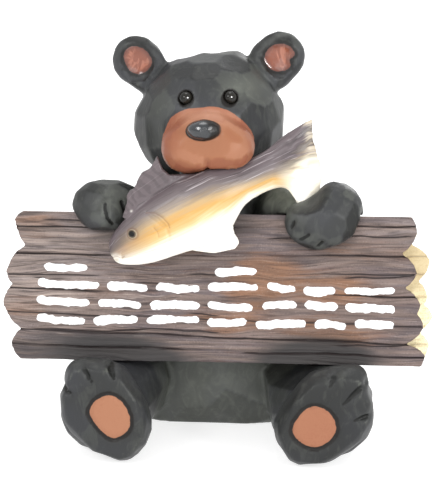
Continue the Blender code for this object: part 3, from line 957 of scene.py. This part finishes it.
    def carve(self, skin: Skin) -> None:
        """Shapes the skin and writes the fields that the paint reads.

        Args:
            skin: the bear's skin
        """
        facet = Whim(self.facet_seed).at(skin.facets(), 0.17)
        x, y, z = skin.points.T
        dents = [hump(line_gap(x, z, path), 2.4) * (y < self.paw_front) for path in self.filled]
        skin.soften(40, 0.5 * np.max(dents, axis=0))
        skin.pull(self.pulls)
        x, y, z = skin.points.T
        ridge = skin.spread(np.clip(skin.crowned(3) / 0.35, 0.0, 1.0), 1)
        gouge = self._gouges(skin)
        pads = np.where(y < self.sole_front, inside_by(x, z, *self.pads), OUT)
        hold = np.maximum(gouge, hump(np.abs(pads), 2.0))
        skin.soften(1, 0.5 * (1.0 - 0.8 * hold))
        x, y, z = skin.points.T
        ring = self.ring_depth * hump(pads + 0.7, self.ring_width)
        whim = Whim(self.knife_seed)
        knife = 0.12 * whim.at(skin.points, 9.0) + 0.05 * whim.at(skin.points, 3.6)
        nose = np.clip((1.06 - ball_gap(skin.points, self.nose)) * 4.5, OUT, 4.0)
        in_ear = (y < self.ear_front) & (z > self.ear_floor)
        ears = np.where(in_ear, inside_by(x, z, *self.ears), OUT)
        cast = np.maximum(ease(nose, -0.6, 0.6), ease(ears, -0.5, 1.2))
        waves = 0.26 * whim.at(skin.points, 3.1) + 0.1 * whim.at(skin.points + 40.0, 1.9)
        skin.push(knife * (pads < -1.0) - (gouge + ring) + waves * cast * (1.0 - 0.7 * (nose > -1.0)))
        self._flatten_nose(skin)
        # How deep each point lies in a hollow, where the paint puts painted shade
        hollow = np.clip(-skin.crowned(26) / 1.6, 0.0, 1.0)
        x, y, z = skin.points.T
        # The eyes are far from what lies behind the face
        gaps = [np.hypot(x - side, z - rise) - OUT * (y > self.head_front) for side, rise in self.eyes]
        # The belly, which the paint makes paler, partly as painted light
        belly = ease(-z, -44.0, -34.0) * ease(y, -46.0, -41.0) * (y < 0.0)
        skin.carry(
            ridge=ridge, hollow=skin.spread(hollow, 3), gouge=np.maximum(gouge, ring), pad_in=pads,
            muzzle_in=self._muzzle(skin), nose_in=nose, ear_in=ears, eye_gap=np.minimum(*gaps), belly=belly,
            # patches of painted highlight and painted shade
            tone=patches(skin.points, self.tones),
            facet=skin.spread(np.clip(1.6 * facet, -1.0, 1.0) * (y > self.foot_front), 1),
        )


@dataclass(frozen=True)
class BeadGloss:
    """A glossy black bead."""

    black: Colour = tint(10, 10, 10)
    brown: Colour = tint(24, 22, 18)

    def make(self) -> Material:
        """Mixes the finish.

        Returns:
            the material
        """
        recipe = Recipe("bead_gloss")
        cloud = recipe.noise(1.4)
        colour = recipe.coats(self.black, (cloud, self.brown))
        return recipe.finish(base_color=colour, roughness=recipe.blend(cloud, 0.04, 0.10), ior=1.36)


@dataclass
class Eye:
    """One round bead, smoother than its solid."""

    node: Object
    radius: float = 2.98

    def build(self, finish: Material) -> Object:
        """Makes the bead in its solid's place.

        Args:
            finish: its material

        Returns:
            the bead
        """
        low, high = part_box(self.node.name)
        bm = bmesh.new()
        place = Matrix.Translation((low + high) / 2.0)
        bmesh.ops.create_icosphere(bm, subdivisions=4, radius=self.radius * MM, matrix=place)
        return declare(mesh_of(f"{self.node.name}_bead", bm), finish, Slot.BEAD, self.node.name)


# The board


@dataclass(frozen=True)
class BoardPaint:
    """Weathered purple-brown paint: dark cracks, grain brushed lightly in a paler paint, rusty patches and
    pale broken ends.

    It reads the board's fields: its relief, its grooves, the pale ends, the painted shade by the bear and the
    fish, the rust and how far inside a stroke of the inscription each point is.
    """

    coat: Colour = tint(118, 102, 96)
    plum: Colour = tint(102, 91, 92)
    rust: Colour = tint(136, 98, 72)
    pale_paint: Colour = tint(176, 162, 153)
    crack: Colour = tint(38, 30, 30)
    cream: Colour = tint(230, 220, 184)
    ochre: Colour = tint(178, 158, 120)
    white: Colour = tint(252, 252, 252)
    # The dark of the painted shade that the bear and the fish cast on the board
    soot: Colour = tint(48, 46, 46)

    def make(self) -> Material:
        """Mixes the finish.

        Returns:
            the material
        """
        recipe = Recipe("weathered_coat")
        places = {axis: recipe[name] * MM for axis, name in enumerate(("run", "grain", "depth"))}
        sheet = recipe.node("CombineXYZ", {}, places)
        bands = recipe.noise(3.2, (13, 1, 2), 3.0, 0.55, along=sheet)
        cloud = recipe.noise(9, (3, 1, 1), 3.0)
        grain = recipe.noise(1.05, (22, 1, 2), 3.0, 0.6, along=sheet)
        fine = recipe.noise(0.5, (30, 1, 2), 2.0, 0.6, along=sheet)
        grit = recipe.noise(0.7, detail=2.0)
        blot = recipe.noise(1.6, (2.5, 1, 1), 3.0, 0.6)
        wear, groove, inside = recipe["wear"], recipe["groove"], recipe["stroke_in"]
        warm = (recipe["rust"] * 0.8 + (bands - 0.5) * 2.2 + (cloud - 0.5) * 1.2).rising(0.25, 1.1)
        dark = (grain * 0.6 + fine * 0.4).rising(0.49, 0.40) * (0.3 + wear * 0.3)
        specks = grit * 0.6 + fine * 0.4
        worn = (recipe["rise"] * 0.5 + (grain - 0.5) * 3.0 + (fine - 0.5) * 3.5).rising(0.6, 1.2)
        # Painted shade on the board near the feet, under the paws and the fish
        shade_share = (recipe["soot"] + (cloud - 0.5) * 0.5 + (grain - 0.5) * 0.4).rising(0.1, 1.0)
        broken = recipe.coats(
            self.cream, ((grain + grit).rising(1.1, 0.8) * 0.5, self.ochre), (recipe["dull"], self.ochre),
            (groove.rising(0.4, 0.9) * 0.4, self.coat),
        )
        stroke = (inside + (blot - 0.5) * 2.2 * 0.5).rising(-0.18, 0.18)
        thin = (grit + fine).rising(1.32, 1.42) * inside.rising(1.6, 0.3)
        colour = recipe.coats(
            self.coat,
            (bands.rising(0.42, 0.60), self.plum),
            (warm * 0.85, self.rust),
            (recipe["pale"] * (0.05 + grain * 0.6), self.pale_paint),
            (dark, self.crack),
            (specks.rising(0.46, 0.34) * 0.3, self.crack),
            (specks.rising(0.56, 0.68) * 0.25, self.pale_paint),
            (recipe["line"] * 0.45, self.crack),
            (worn * (0.04 + wear * 0.55), self.pale_paint),
            # Painted shade
            (shade_share * 0.95, self.soot),
            ((groove + (fine - 0.5) * 0.4).rising(0.3, 0.75) * 0.95, self.crack),
            ((recipe["cream"] + (grit - 0.5) * 0.5).rising(0.35, 0.6), broken),
            (stroke * (1.0 - thin * 0.8), self.white),
        )
        return recipe.finish(
            base_color=colour, roughness=recipe.blend(stroke, 0.5 + (grit - 0.5) * 0.3, 0.42),
            normal=recipe.relief((grain, 0.22), (fine, 0.09)), specular_ior_level=0.3,
        )


@dataclass
class Board(Covered):
    """The plank sign, in its own frame: along it, up its slope and out of its front, in millimetres."""

    name: str = "plank_sign"
    slot: Slot = Slot.BOARD
    cell: float = 0.42
    squeeze: float = 0.5
    foot: Point = (4.1, -58.0, 41.0)
    lean: float = 14.0
    length: float = 191.0
    height: float = 66.0
    # How far out the pale back layer ends
    front_layer: float = 4.0
    # Grooves between the planks: share of the height at the left and at the right end. The solid has the
    # first of them too, but straight, so those are filled before they are cut again
    planks: Sequence[Place] = (
        (0.889, 0.935), (0.707, 0.736), (0.475, 0.463), (0.202, 0.144), (0.101, 0.06), (0.316, 0.264),
        (0.565, 0.616),
    )
    filled: int = 5
    # Short cracks: where they start and end, along and up
    cracks: Sequence[tuple[Place, Place]] = (
        ((-84, 35.9), (-74, 36.5)), ((-14.4, 38.9), (4, 39.7)), ((54, 37.9), (90, 40.3)),
        ((-38, 34.5), (-14, 33.2)), ((-14, 21.7), (3, 21.5)), ((-9, 25.7), (1.5, 25.5)),
        ((-84, 13.2), (-30, 13.4)), ((51, 7.9), (90, 10)), ((-47, 13.5), (4, 14.1)), ((20, 55.5), (88, 57.5)),
        ((-80, 62), (-40, 62.6)), ((10, 5), (70, 4.2)),
    )
    # The inscription's rows of strokes: their heights, where the words start and end, strokes in a word
    rows: Sequence[float] = (33.2, 25.6, 18.0)
    words: Sequence[tuple[float, float, int]] = ((-78, -9, 3), (-2, 77, 4))
    # A short row on top, over each word's start
    top_row: float = 40.8
    top_words: Sequence[tuple[float, float, int]] = ((-75, -59, 1), (1, 16, 1))
    stroke_radius: float = 1.9
    stroke_gap: float = 7.5
    # How far the planks swell, how deep the grain's lines and the grooves are, and how thick the strokes
    swell: float = 0.28
    line_depth: float = 0.32
    groove_depth: float = 0.9
    stroke_rise: float = 0.45
    seed: int = 3
    stroke_seed: int = 11
    # Rusty patches, and patches of painted shade near the feet, under the paws and the fish and along the
    # bottom: middle, reach along and up, strength
    rust: Sequence[Patch] = (
        ((15, 32), (14, 9), 0.9), ((63, 51), (26, 7), 0.7), ((24, 40), (18, 8), 0.8),
        ((50, 15), (24, 7), 0.8), ((5, 18), (18, 6), 0.8), ((-52, 27), (22, 9), 0.6),
        ((-20, 45), (18, 7), 0.4), ((55, 32), (26, 9), 0.7), ((40, 25), (55, 33), 0.3),
        ((-84, 24), (14, 8), 0.8), ((-82, 60), (16, 7), 0.7),
    )
    soot: Sequence[Patch] = (
        ((-40, 0), (25, 13), 1.2), ((46, 1), (26, 12), 1.4), ((-44, 60), (18, 8), 0.6),
        ((46, 56), (18, 9), 0.6), ((-10, 62), (30, 8), 0.7), ((0, 0), (44, 5), 0.3),
        ((-72, 4), (28, 10), 0.65),
    )
    # Where brushing in a paler paint lightens the planks
    pale: Sequence[Patch] = (
        ((-80, 36), (34, 24), 0.85), ((-60, 57), (40, 9), 0.4), ((86, 60), (22, 7), 0.5),
        ((-22, 50), (26, 8), 0.4),
    )

    def _slope(self) -> Place:
        """The cosine and the sine of the lean."""
        return math.cos(math.radians(self.lean)), math.sin(math.radians(self.lean))

    def lay(self) -> Matrix:
        """Takes the board out of the frame into its own, squeezed along its length.

        Returns:
            the turn and the squeeze
        """
        place = Matrix.Translation(Vector(self.foot) * MM)
        place @= Matrix.Rotation(math.radians(-self.lean), 4, "X")
        return Matrix.Diagonal((self.squeeze, 1.0, 1.0, 1.0)) @ place.inverted()

    def own(self, points: Array) -> Array:
        """Turns points of the frame into the board's own.

        Args:
            points: the frame's points

        Returns:
            the same points as along, up and out
        """
        x, y, z = (points - self.foot).T
        cos, sin = self._slope()
        return np.stack((x, y * sin + z * cos, z * sin - y * cos), 1)

    def _over(self, own: Array, groove: Place) -> Array:
        """How far above a groove between planks each point lies."""
        left, right = groove
        return own[:, 1] - (left + (right - left) * (own[:, 0] / self.length + 0.5)) * self.height

    def _fill(self, skin: Skin) -> None:
        """Fills most of the solid's straight grooves, so that the planks' own lines can wander.

        Args:
            skin: the board's skin
        """
        own = self.own(skin.points)
        gaps = np.min([np.abs(self._over(own, groove)) for groove in self.planks[:self.filled]], axis=0)
        raised = np.where(own[:, 2] > -1.7, -own[:, 2], 0.0) * ease(-gaps, -2.2, -1.4) * 0.95
        cos, sin = self._slope()
        skin.points += raised[:, None] * np.array((0.0, -cos, sin))

    def _grooves(self, own: Array, whim: Whim) -> Array:
        """Finds the grooves between the planks and the cracks in them.

        Args:
            own: the board's own points
            whim: the board's noise

        Returns:
            1 at each point in the middle of one, and 0 away from them all
        """
        along, up, _ = own.T
        line = own * (1.0, 0.0, 0.0)
        wave = 0.7 * whim.at(line + (0.0, 3.0, 0.0), 26.0)
        wave += 0.25 * whim.at(line, 7.0)
        cuts = []
        for left, right in self.planks:
            patchy = whim.at(line + (0.0, 40.0 * left, 90.0 * right), (38.0, 9.0, 60.0))
            fade = np.minimum(0.45 + 0.75 * ease(patchy, -0.3, 0.3), 1.0)
            cuts.append(hump(self._over(own, (left, right)) - 0.5 * wave, 0.36) * fade)
        for (x0, z0), (x1, z1) in self.cracks:
            inside = ease(along, x0 - 3.0, x0 + 6.0) * ease(-along, -x1 - 3.0, 6.0 - x1)
            gap = up - z0 - (z1 - z0) * (along - x0) / (x1 - x0) - wave
            cuts.append(hump(gap, 0.38) * inside)
        return np.max(cuts, axis=0)

    def _spans(self, dice: np.random.Generator) -> list[Point]:
        """Splits the inscription's words into strokes of uneven lengths.

        Args:
            dice: the random draws

        Returns:
            the height, start and end of each stroke
        """
        found = []
        lines = [(self.top_row, word) for word in self.top_words]
        lines += [(height, word) for height in self.rows for word in self.words]
        for height, (start, end, count) in lines:
            shares = dice.uniform(0.6, 1.4, count)
            lengths = shares / shares.sum() * (end - start - (count - 1) * self.stroke_gap)
            for length in lengths:
                found.append((height, start, start + length))
                start += length + self.stroke_gap
        return found

    def _strokes(self, own: Array, whim: Whim) -> Array:
        """Measures the strokes of the inscription.

        Args:
            own: the board's own points
            whim: the board's noise

        Returns:
            how far inside a stroke each point is
        """
        along, up, out = own.T
        dice = np.random.default_rng(self.stroke_seed)
        total = np.full(len(own), OUT)
        for height, start, end in self._spans(dice):
            tilt, bow, rise = dice.uniform(-0.6, 0.6, 3)
            middle = (start + end) / 2.0
            path = ((start, height - tilt + rise), (middle, height + bow + rise), (end, height + tilt + rise))
            thick = self.stroke_radius * dice.uniform(0.88, 1.12)
            taper = 1.0 - 0.2 * np.clip((along - start) / (end - start), 0.0, 1.0)
            total = np.maximum(total, thick * taper - line_gap(along, up, path))
        total += 0.35 * whim.at(own, (3, 2, 3)) + 0.2 * whim.at(own, (1.2, 1.2, 1.2))
        return np.where(out > -1.5, total, OUT)

    def carve(self, skin: Skin) -> None:
        """Shapes the skin and writes the fields that the paint reads.

        Args:
            skin: the board's skin
        """
        skin.soften(1)
        self._fill(skin)
        own = self.own(skin.points)
        along, up, out = own.T
        normals = skin.normals()
        cos, sin = self._slope()
        facing = normals[:, 2] * sin - normals[:, 1] * cos
        whim = Whim(self.seed)
        bend = 1.8 * whim.at(own, (34, 8, 30)) + 0.7 * whim.at(own + 60, (11, 5, 30))
        warped = own + bend[:, None] * (0.0, 1.0, 0.0)
        swell = whim.at(warped, (60, 5, 9))
        lines = hump(np.abs(whim.at(warped, (48, 1.9, 6))), 0.22)
        lines = np.maximum(lines, 0.7 * hump(np.abs(whim.at(warped + 40, (26, 1.25, 6))), 0.2))
        groove = self._grooves(own, whim) * ease(np.abs(facing), 0.2, 0.6)
        strokes = self._strokes(own, whim)
        painted = ease(strokes, -0.3, 0.6)
        relief = self.swell * swell - self.line_depth * lines * (1.0 - 0.6 * painted)
        relief -= self.groove_depth * groove * (1.0 - 0.5 * painted)
        end = ease(np.abs(along), self.length / 2.0 - 12.0, self.length / 2.0)
        chips = 0.5 * whim.at(own, (2, 2.2, 2)) - 0.05
        relief = np.where(np.abs(facing) > 0.4, relief, 0.3 * relief + chips * end)
        skin.push(relief - 0.15 + self.stroke_rise * painted)
        behind = ease(-out, self.front_layer - 0.9, self.front_layer - 0.2)
        torn = along + 5.0 * whim.at(own, (9, 3, 9))
        right = ease(torn, 66.0, 74.0) * (1.0 - ease(-facing, 0.3, 0.7) * (torn < 90.0))
        ending = ease(np.abs(normals[:, 0]), 0.35, 0.8)
        wear = 0.1 + 0.9 * ease(whim.at(own, (40, 14, 50)) - along / 90.0, -0.3, 1.0)
        face = own[:, :2]
        skin.carry(
            rise=0.5 + 0.5 * swell - 0.6 * lines, groove=groove, line=lines, wear=wear, stroke_in=strokes,
            cream=right * np.maximum(behind, 0.9 * ending * ease(-out, 0.6, 2.5)),
            run=along, grain=warped[:, 1], depth=out, dull=0.75 * ease(up, 22.0, 40.0),
            # painted shade near the feet, under the paws and the fish
            soot=patches(face, self.soot) * (out > -self.front_layer + 0.5),
            rust=patches(face, self.rust), pale=patches(face, self.pale),
        )


# The fish


@dataclass(frozen=True)
class TroutPaint:
    """Satin trout: purple-grey back and fins, a golden side, a white belly and a peach head.

    It reads the fish's fields: along and across its body, its dorsal fin and tail, its eye and fine lines.
    """

    back: Colour = tint(92, 82, 85)
    back_dark: Colour = tint(64, 57, 59)
    streak: Colour = tint(172, 164, 166)
    grey: Colour = tint(110, 101, 101)
    sand: Colour = tint(138, 122, 104)
    amber: Colour = tint(178, 150, 108)
    gold: Colour = tint(194, 149, 80)
    honey: Colour = tint(204, 174, 122)
    cream: Colour = tint(226, 214, 188)
    belly: Colour = tint(248, 244, 234)
    pearl: Colour = tint(190, 176, 158)
    peach: Colour = tint(168, 144, 118)
    dun: Colour = tint(144, 122, 104)
    brow: Colour = tint(106, 93, 84)
    line: Colour = tint(112, 76, 54)
    ring: Colour = tint(70, 58, 44)
    pupil: Colour = tint(12, 11, 10)
    iris: Colour = tint(150, 138, 116)

    def make(self) -> Material:
        """Mixes the finish.

        Returns:
            the material
        """
        recipe = Recipe("trout_coat")
        along, across, rays, tail = (recipe[name] for name in ("fish_along", "fish_across", "rays", "tail"))
        sheet = recipe.node("CombineXYZ", {}, {0: along * 0.084, 1: across * 0.014, 2: 0.0})
        streaks = recipe.noise(1.1, (12, 1, 1), 4.0, 0.6, 0.2, sheet)
        cloud = recipe.noise(7, (2.5, 1, 1), 2.0, along=sheet)
        scratch = recipe.noise(0.7, (26, 1, 1), 2.0, 0.5, 0.1, sheet)
        place = across + (streaks - 0.5) * 0.4 + (cloud - 0.5) * 0.26 + along.rising(0.38, 0.9) * 0.56
        place -= along.rising(0.86, 0.99) * 0.22
        side = recipe.ramp(
            place, (-0.52, self.belly), (-0.32, self.cream), (-0.10, self.honey), (0.12, self.gold),
            (0.30, self.amber), (0.50, self.sand), (0.70, self.grey), (0.92, self.back),
        )
        face = recipe.ramp(
            place + along.rising(0.2, 0.06) * 0.25, (-0.55, self.belly), (-0.33, self.pearl),
            (-0.10, self.peach), (0.12, self.dun), (0.36, self.brow), (0.75, self.back),
        )
        fan = recipe.ramp(
            place + (rays - 0.5) * 0.3,
            (0.10, self.belly), (0.45, self.cream), (0.70, self.sand), (0.92, self.back),
        )
        fin = recipe.coats(self.back, (rays.rising(0.3, 0.9) * 0.5, self.back_dark))
        furrow = recipe.most((streaks - 0.5).rising(-0.03, -0.16), tail * rays.rising(0.55, 0.1))
        upper = place.rising(0.35, 0.7)
        eye = recipe["fish_eye"] + (streaks - 0.5) * 0.4
        colour = recipe.coats(
            side,
            (along.rising(0.36, 0.18), face),
            (tail, fan),
            ((along + (streaks - 0.5) * 0.16).rising(0.955, 1.02) * 0.6, self.cream),
            (furrow * upper * 0.75, self.back_dark),
            (scratch.rising(0.60, 0.68) * upper * 0.8, self.streak),
            (recipe["lips"] * (streaks + 0.4) * 0.8, self.belly),
            (recipe["dorsal"] * 0.85, fin),
            (recipe["fine_line"].rising(0.3, 1.0) * 0.35, self.line),
            (eye.rising(3.4, 2.2) * 0.4, self.line),
            (eye.rising(2.3, 1.9) * 0.8, self.iris),
            (eye.rising(1.9, 1.55), self.ring),
            (eye.rising(1.4, 1.1), self.pupil),
        )
        matt = 0.36 + (streaks - 0.5) * 0.2
        return recipe.finish(
            base_color=colour, roughness=recipe.blend(eye.rising(2.1, 1.6), matt, 0.08),
            normal=recipe.relief((streaks, 0.12)), specular_ior_level=0.4,
        )


@dataclass
class Fish(Covered):
    """The trout in the bear's mouth."""

    name: str = "trout"
    slot: Slot = Slot.TROUT
    cell: float = 0.4
    bite: Point = (-4.0, -52.0, 108.0)
    length: float = 84.0
    # Along and up from the bite and the half height, in shares of the length, from the snout to the tail
    spine: Sequence[Point] = (
        (-0.462, -0.24, 0.01), (-0.438, -0.225, 0.062), (-0.365, -0.18, 0.112), (-0.225, -0.105, 0.166),
        (-0.02, 0, 0.186), (0.115, 0.085, 0.158), (0.248, 0.143, 0.112), (0.38, 0.192, 0.116),
        (0.485, 0.205, 0.164), (0.58, 0.212, 0.226),
    )
    # Where the fish differs from its solid: middle, reach, shift
    pulls: Sequence[Pull] = (
        ((36, -50, 139), (10, 30, 8), (-1, 0, 2.6)), ((46, -50, 146), (7, 30, 7), (0, 0, 2.2)),
        ((43, -50, 115), (6, 30, 7), (3, 0, -2.2)), ((36, -50, 117), (5.5, 30, 5.5), (1.9, 0, 1.5)),
        ((11, -52, 98.5), (5, 30, 5), (0.8, 0, 0)), ((14, -52, 110), (6, 30, 5), (-0.5, 0, 0.9)),
        ((-44, -62, 88), (5, 20, 5), (0.8, 0, 0.8)), ((-15, -58, 91), (14, 30, 6), (0, 0, 1.7)),
    )
    # How far the underside before the tail is raised
    lift: float = 1.9
    eye: Place = (-31.8, 99.7)
    fleck: Place = (-32.8, 108.8)
    gill: Path = ((-26, 108.9), (-22.3, 109.2), (-18.2, 107.4), (-15.9, 105.1), (-15.3, 103.4))
    cheek: Path = ((-22.1, 103.1), (-20.6, 101.5), (-20, 99.3))
    mouth: Path = ((-42, 87.2), (-39, 88.7), (-36.8, 88.2), (-35.5, 89.5))
    # How many places along the spine the points of the skin are measured from
    samples: int = 160
    gill_depth: float = 0.35
    eye_rise: float = 0.55
    tail_depth: float = 0.3
    fin_depth: float = 0.2
    seed: int = 9

    def _course(self) -> tuple[Array, Array]:
        """Follows the spine.

        Returns:
            points along it with their half heights in millimetres, and their shares of the way
        """
        rows = np.array(self.spine)
        place = np.linspace(0.0, len(rows) - 1.001, self.samples)
        index = place.astype(int)
        part = (place - index)[:, None]
        part = part * part * (3.0 - 2.0 * part) * 0.35 + part * 0.65
        course = (rows[index] * (1.0 - part) + rows[index + 1] * part) * self.length
        course += (self.bite[0], self.bite[2], 0.0)
        return course, place / (len(rows) - 1)

    def carve(self, skin: Skin) -> None:
        """Shapes the skin and writes the fields that the paint reads.

        Args:
            skin: the fish's skin
        """
        skin.soften(10)
        skin.pull(self.pulls)
        x, _, z = skin.points.T
        course, shares = self._course()
        nearest = ((x[:, None] - course[:, 0]) ** 2 + (z[:, None] - course[:, 1]) ** 2).argmin(1)
        run = np.gradient(course[:, :2], axis=0)
        ahead, aside = (run / np.linalg.norm(run, axis=1, keepdims=True))[nearest].T
        side = ahead * (z - course[nearest, 1]) - aside * (x - course[nearest, 0])
        along = skin.spread(shares[nearest], 6)
        across = skin.spread(side / np.maximum(course[nearest, 2], 2.0), 6)
        lift = self.lift * ease(along, 0.56, 0.68) * (1.0 - ease(along, 0.84, 0.92))
        lift *= ease(-across, 0.0, 0.7)
        skin.points += np.stack((-aside * lift, np.zeros(len(lift)), ahead * lift), 1)
        tail = ease(along, 0.79, 0.93)
        dorsal = ease(across, 0.98, 1.15) * (1.0 - ease(along, 0.5, 0.6))
        whim = Whim(self.seed)
        ragged = whim.at(skin.points, (3, 9, 3))
        tail_rays = 0.5 + 0.5 * np.cos(across * 19.0 + 1.6 * ragged)
        fin_rays = 0.5 + 0.5 * np.cos(along * 290.0 + across * 9.0 + 2.0 * ragged)
        rays = tail * tail_rays + dorsal * fin_rays
        eye = np.hypot(x - self.eye[0], (z - self.eye[1]) * 1.1)
        jaw = line_gap(x, z, self.mouth)
        cheek = 0.8 * hump(line_gap(x, z, self.cheek), 0.5)
        lines = np.max([hump(line_gap(x, z, self.gill), 0.45), cheek, hump(jaw, 0.4)], axis=0)
        lips = hump(jaw, 1.5) * (x < self.mouth[2][0])
        fleck = hump(np.hypot(x - self.fleck[0], z - self.fleck[1]), 0.5)
        front = skin.normals()[:, 1] < 0.0
        scales = whim.at(np.stack((along * 400.0, across * 60.0, x * 0.0), 1), (40.0, 5.0, 9.0))
        furrows = (self.tail_depth * tail + self.fin_depth * dorsal) * (1.0 - rays)
        relief = 0.1 * scales - furrows - self.gill_depth * lines * front
        bulge = self.eye_rise * ease(-eye, -2.4, -1.2) - 0.25 * hump(eye - 2.5, 0.4)
        relief += np.where(front, bulge, 0.0)
        skin.push(relief)
        skin.carry(
            fish_along=along, fish_across=across, tail=tail, dorsal=dorsal, rays=rays, fine_line=lines,
            fish_eye=eye, lips=np.maximum(lips, fleck),
        )


# The studio


@dataclass(frozen=True)
class Lamp:
    """One soft light: its place from the object's middle, its side and its power."""

    name: str
    place: Point
    side: float
    power: float

    def hang(self, middle: Vector) -> Object:
        """Hangs the light.

        Args:
            middle: the place that it is aimed at

        Returns:
            the light
        """
        light = bpy.data.lights.new(self.name, "AREA")
        light.shape, light.size, light.energy = "DISK", self.side, self.power
        lamp = show(self.name, light)
        lamp.location = middle + Vector(self.place)
        lamp.rotation_euler = (-Vector(self.place)).to_track_quat("-Z", "Y").to_euler()
        return lamp


@dataclass
class Studio:
    """A pale floor, soft light and the camera at the photograph's angle."""

    target: Point = (3.12, -30.0, 86.53)
    azimuth: float = 4.0
    elevation: float = 14.0
    distance: float = 900.0
    # The photograph's height in pixels, and the focal length in those pixels
    image_height: int = 495
    focal: float = 2000.0
    sensor: float = 36.0
    floor_side: float = 6.0
    floor: Colour = tint(188, 188, 188)
    floor_cloud: Colour = tint(192, 192, 192)
    # The floor's own light, which keeps the shadow on it pale
    white: Colour = tint(255, 255, 255)
    glow: float = 0.7
    ambient: float = 1.0
    lamps: Sequence[Lamp] = (
        Lamp("left", (-0.80, -1.10, 0.95), 0.5, 8.0),
        Lamp("right", (0.88, -0.78, 0.42), 0.24, 6.0),
        Lamp("front", (0.1, -1.8, 0.45), 1.0, 5.0),
        Lamp("top", (0.0, 0.25, 1.5), 0.8, 5.0),
        Lamp("rim", (0.5, 1.3, 0.6), 0.8, 6.0),
    )
    # Lights the eye beads alone, for the bright point that their gloss shows
    catch: Lamp = Lamp("catch", (0.66, -1.0, 0.45), 0.5, 40.0)

    def _camera(self) -> None:
        """Sets the camera up."""
        side, rise = math.radians(self.azimuth), math.radians(self.elevation)
        back = Vector((math.sin(side) * math.cos(rise), -math.cos(side) * math.cos(rise), math.sin(rise)))
        lens = bpy.data.cameras.new("view")
        lens.sensor_width = self.sensor
        lens.lens = self.focal / self.image_height * self.sensor
        lens.dof.use_dof = False
        camera = show("view", lens)
        camera.location = (Vector(self.target) + back * self.distance) * MM
        camera.rotation_euler = (-back).to_track_quat("-Z", "Y").to_euler()
        bpy.context.scene.camera = camera

    def _floor(self) -> None:
        """Lays the floor under the seat."""
        bm = bmesh.new()
        bmesh.ops.create_grid(bm, x_segments=1, y_segments=1, size=self.floor_side / 2.0)
        mesh = mesh_of("floor", bm)
        recipe = Recipe("pale_floor")
        finish = recipe.finish(
            base_color=recipe.coats(self.floor, (recipe.noise(60.0), self.floor_cloud)), roughness=0.9,
            emission_color=self.white, emission_strength=self.glow,
        )
        mesh.materials.append(finish)
        floor = show("floor", mesh)
        floor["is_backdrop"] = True

    def catch_light(self, beads: Sequence[Object]) -> None:
        """Hangs the light that only the beads receive.

        Args:
            beads: the beads
        """
        receivers = bpy.data.collections.new("beads")
        for bead in beads:
            receivers.objects.link(bead)
        lamp = self.catch.hang(Vector(self.target) * MM)
        lamp.light_linking.receiver_collection = receivers

    def build(self) -> None:
        """Lights the scene and sets the camera and the floor."""
        world = bpy.data.worlds.new("soft_box")
        world.use_nodes = True
        backdrop = world.node_tree.nodes["Background"]
        backdrop.inputs["Color"].default_value = self.white
        backdrop.inputs["Strength"].default_value = self.ambient
        bpy.context.scene.world = world
        bpy.context.scene.view_settings.view_transform = "Standard"
        for lamp in self.lamps:
            lamp.hang(Vector(self.target) * MM)
        self._floor()
        self._camera()


def main() -> None:
    """Builds the pieces round the frame, in order."""
    logging.basicConfig(level=logging.INFO, format="%(name)s: %(message)s")
    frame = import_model()
    solids = [list(corner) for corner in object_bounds()]
    nodes = frame["nodes"]
    studio = Studio()
    studio.build()
    Bear().build(nodes["bear"], solids, CharcoalPaint().make())
    gloss = BeadGloss().make()
    studio.catch_light([Eye(nodes[name]).build(gloss) for name in ("left_eye", "right_eye")])
    Board().build(nodes["signboard"], solids, BoardPaint().make())
    Fish().build(nodes["fish"], solids, TroutPaint().make())


if __name__ == "__main__":
    main()
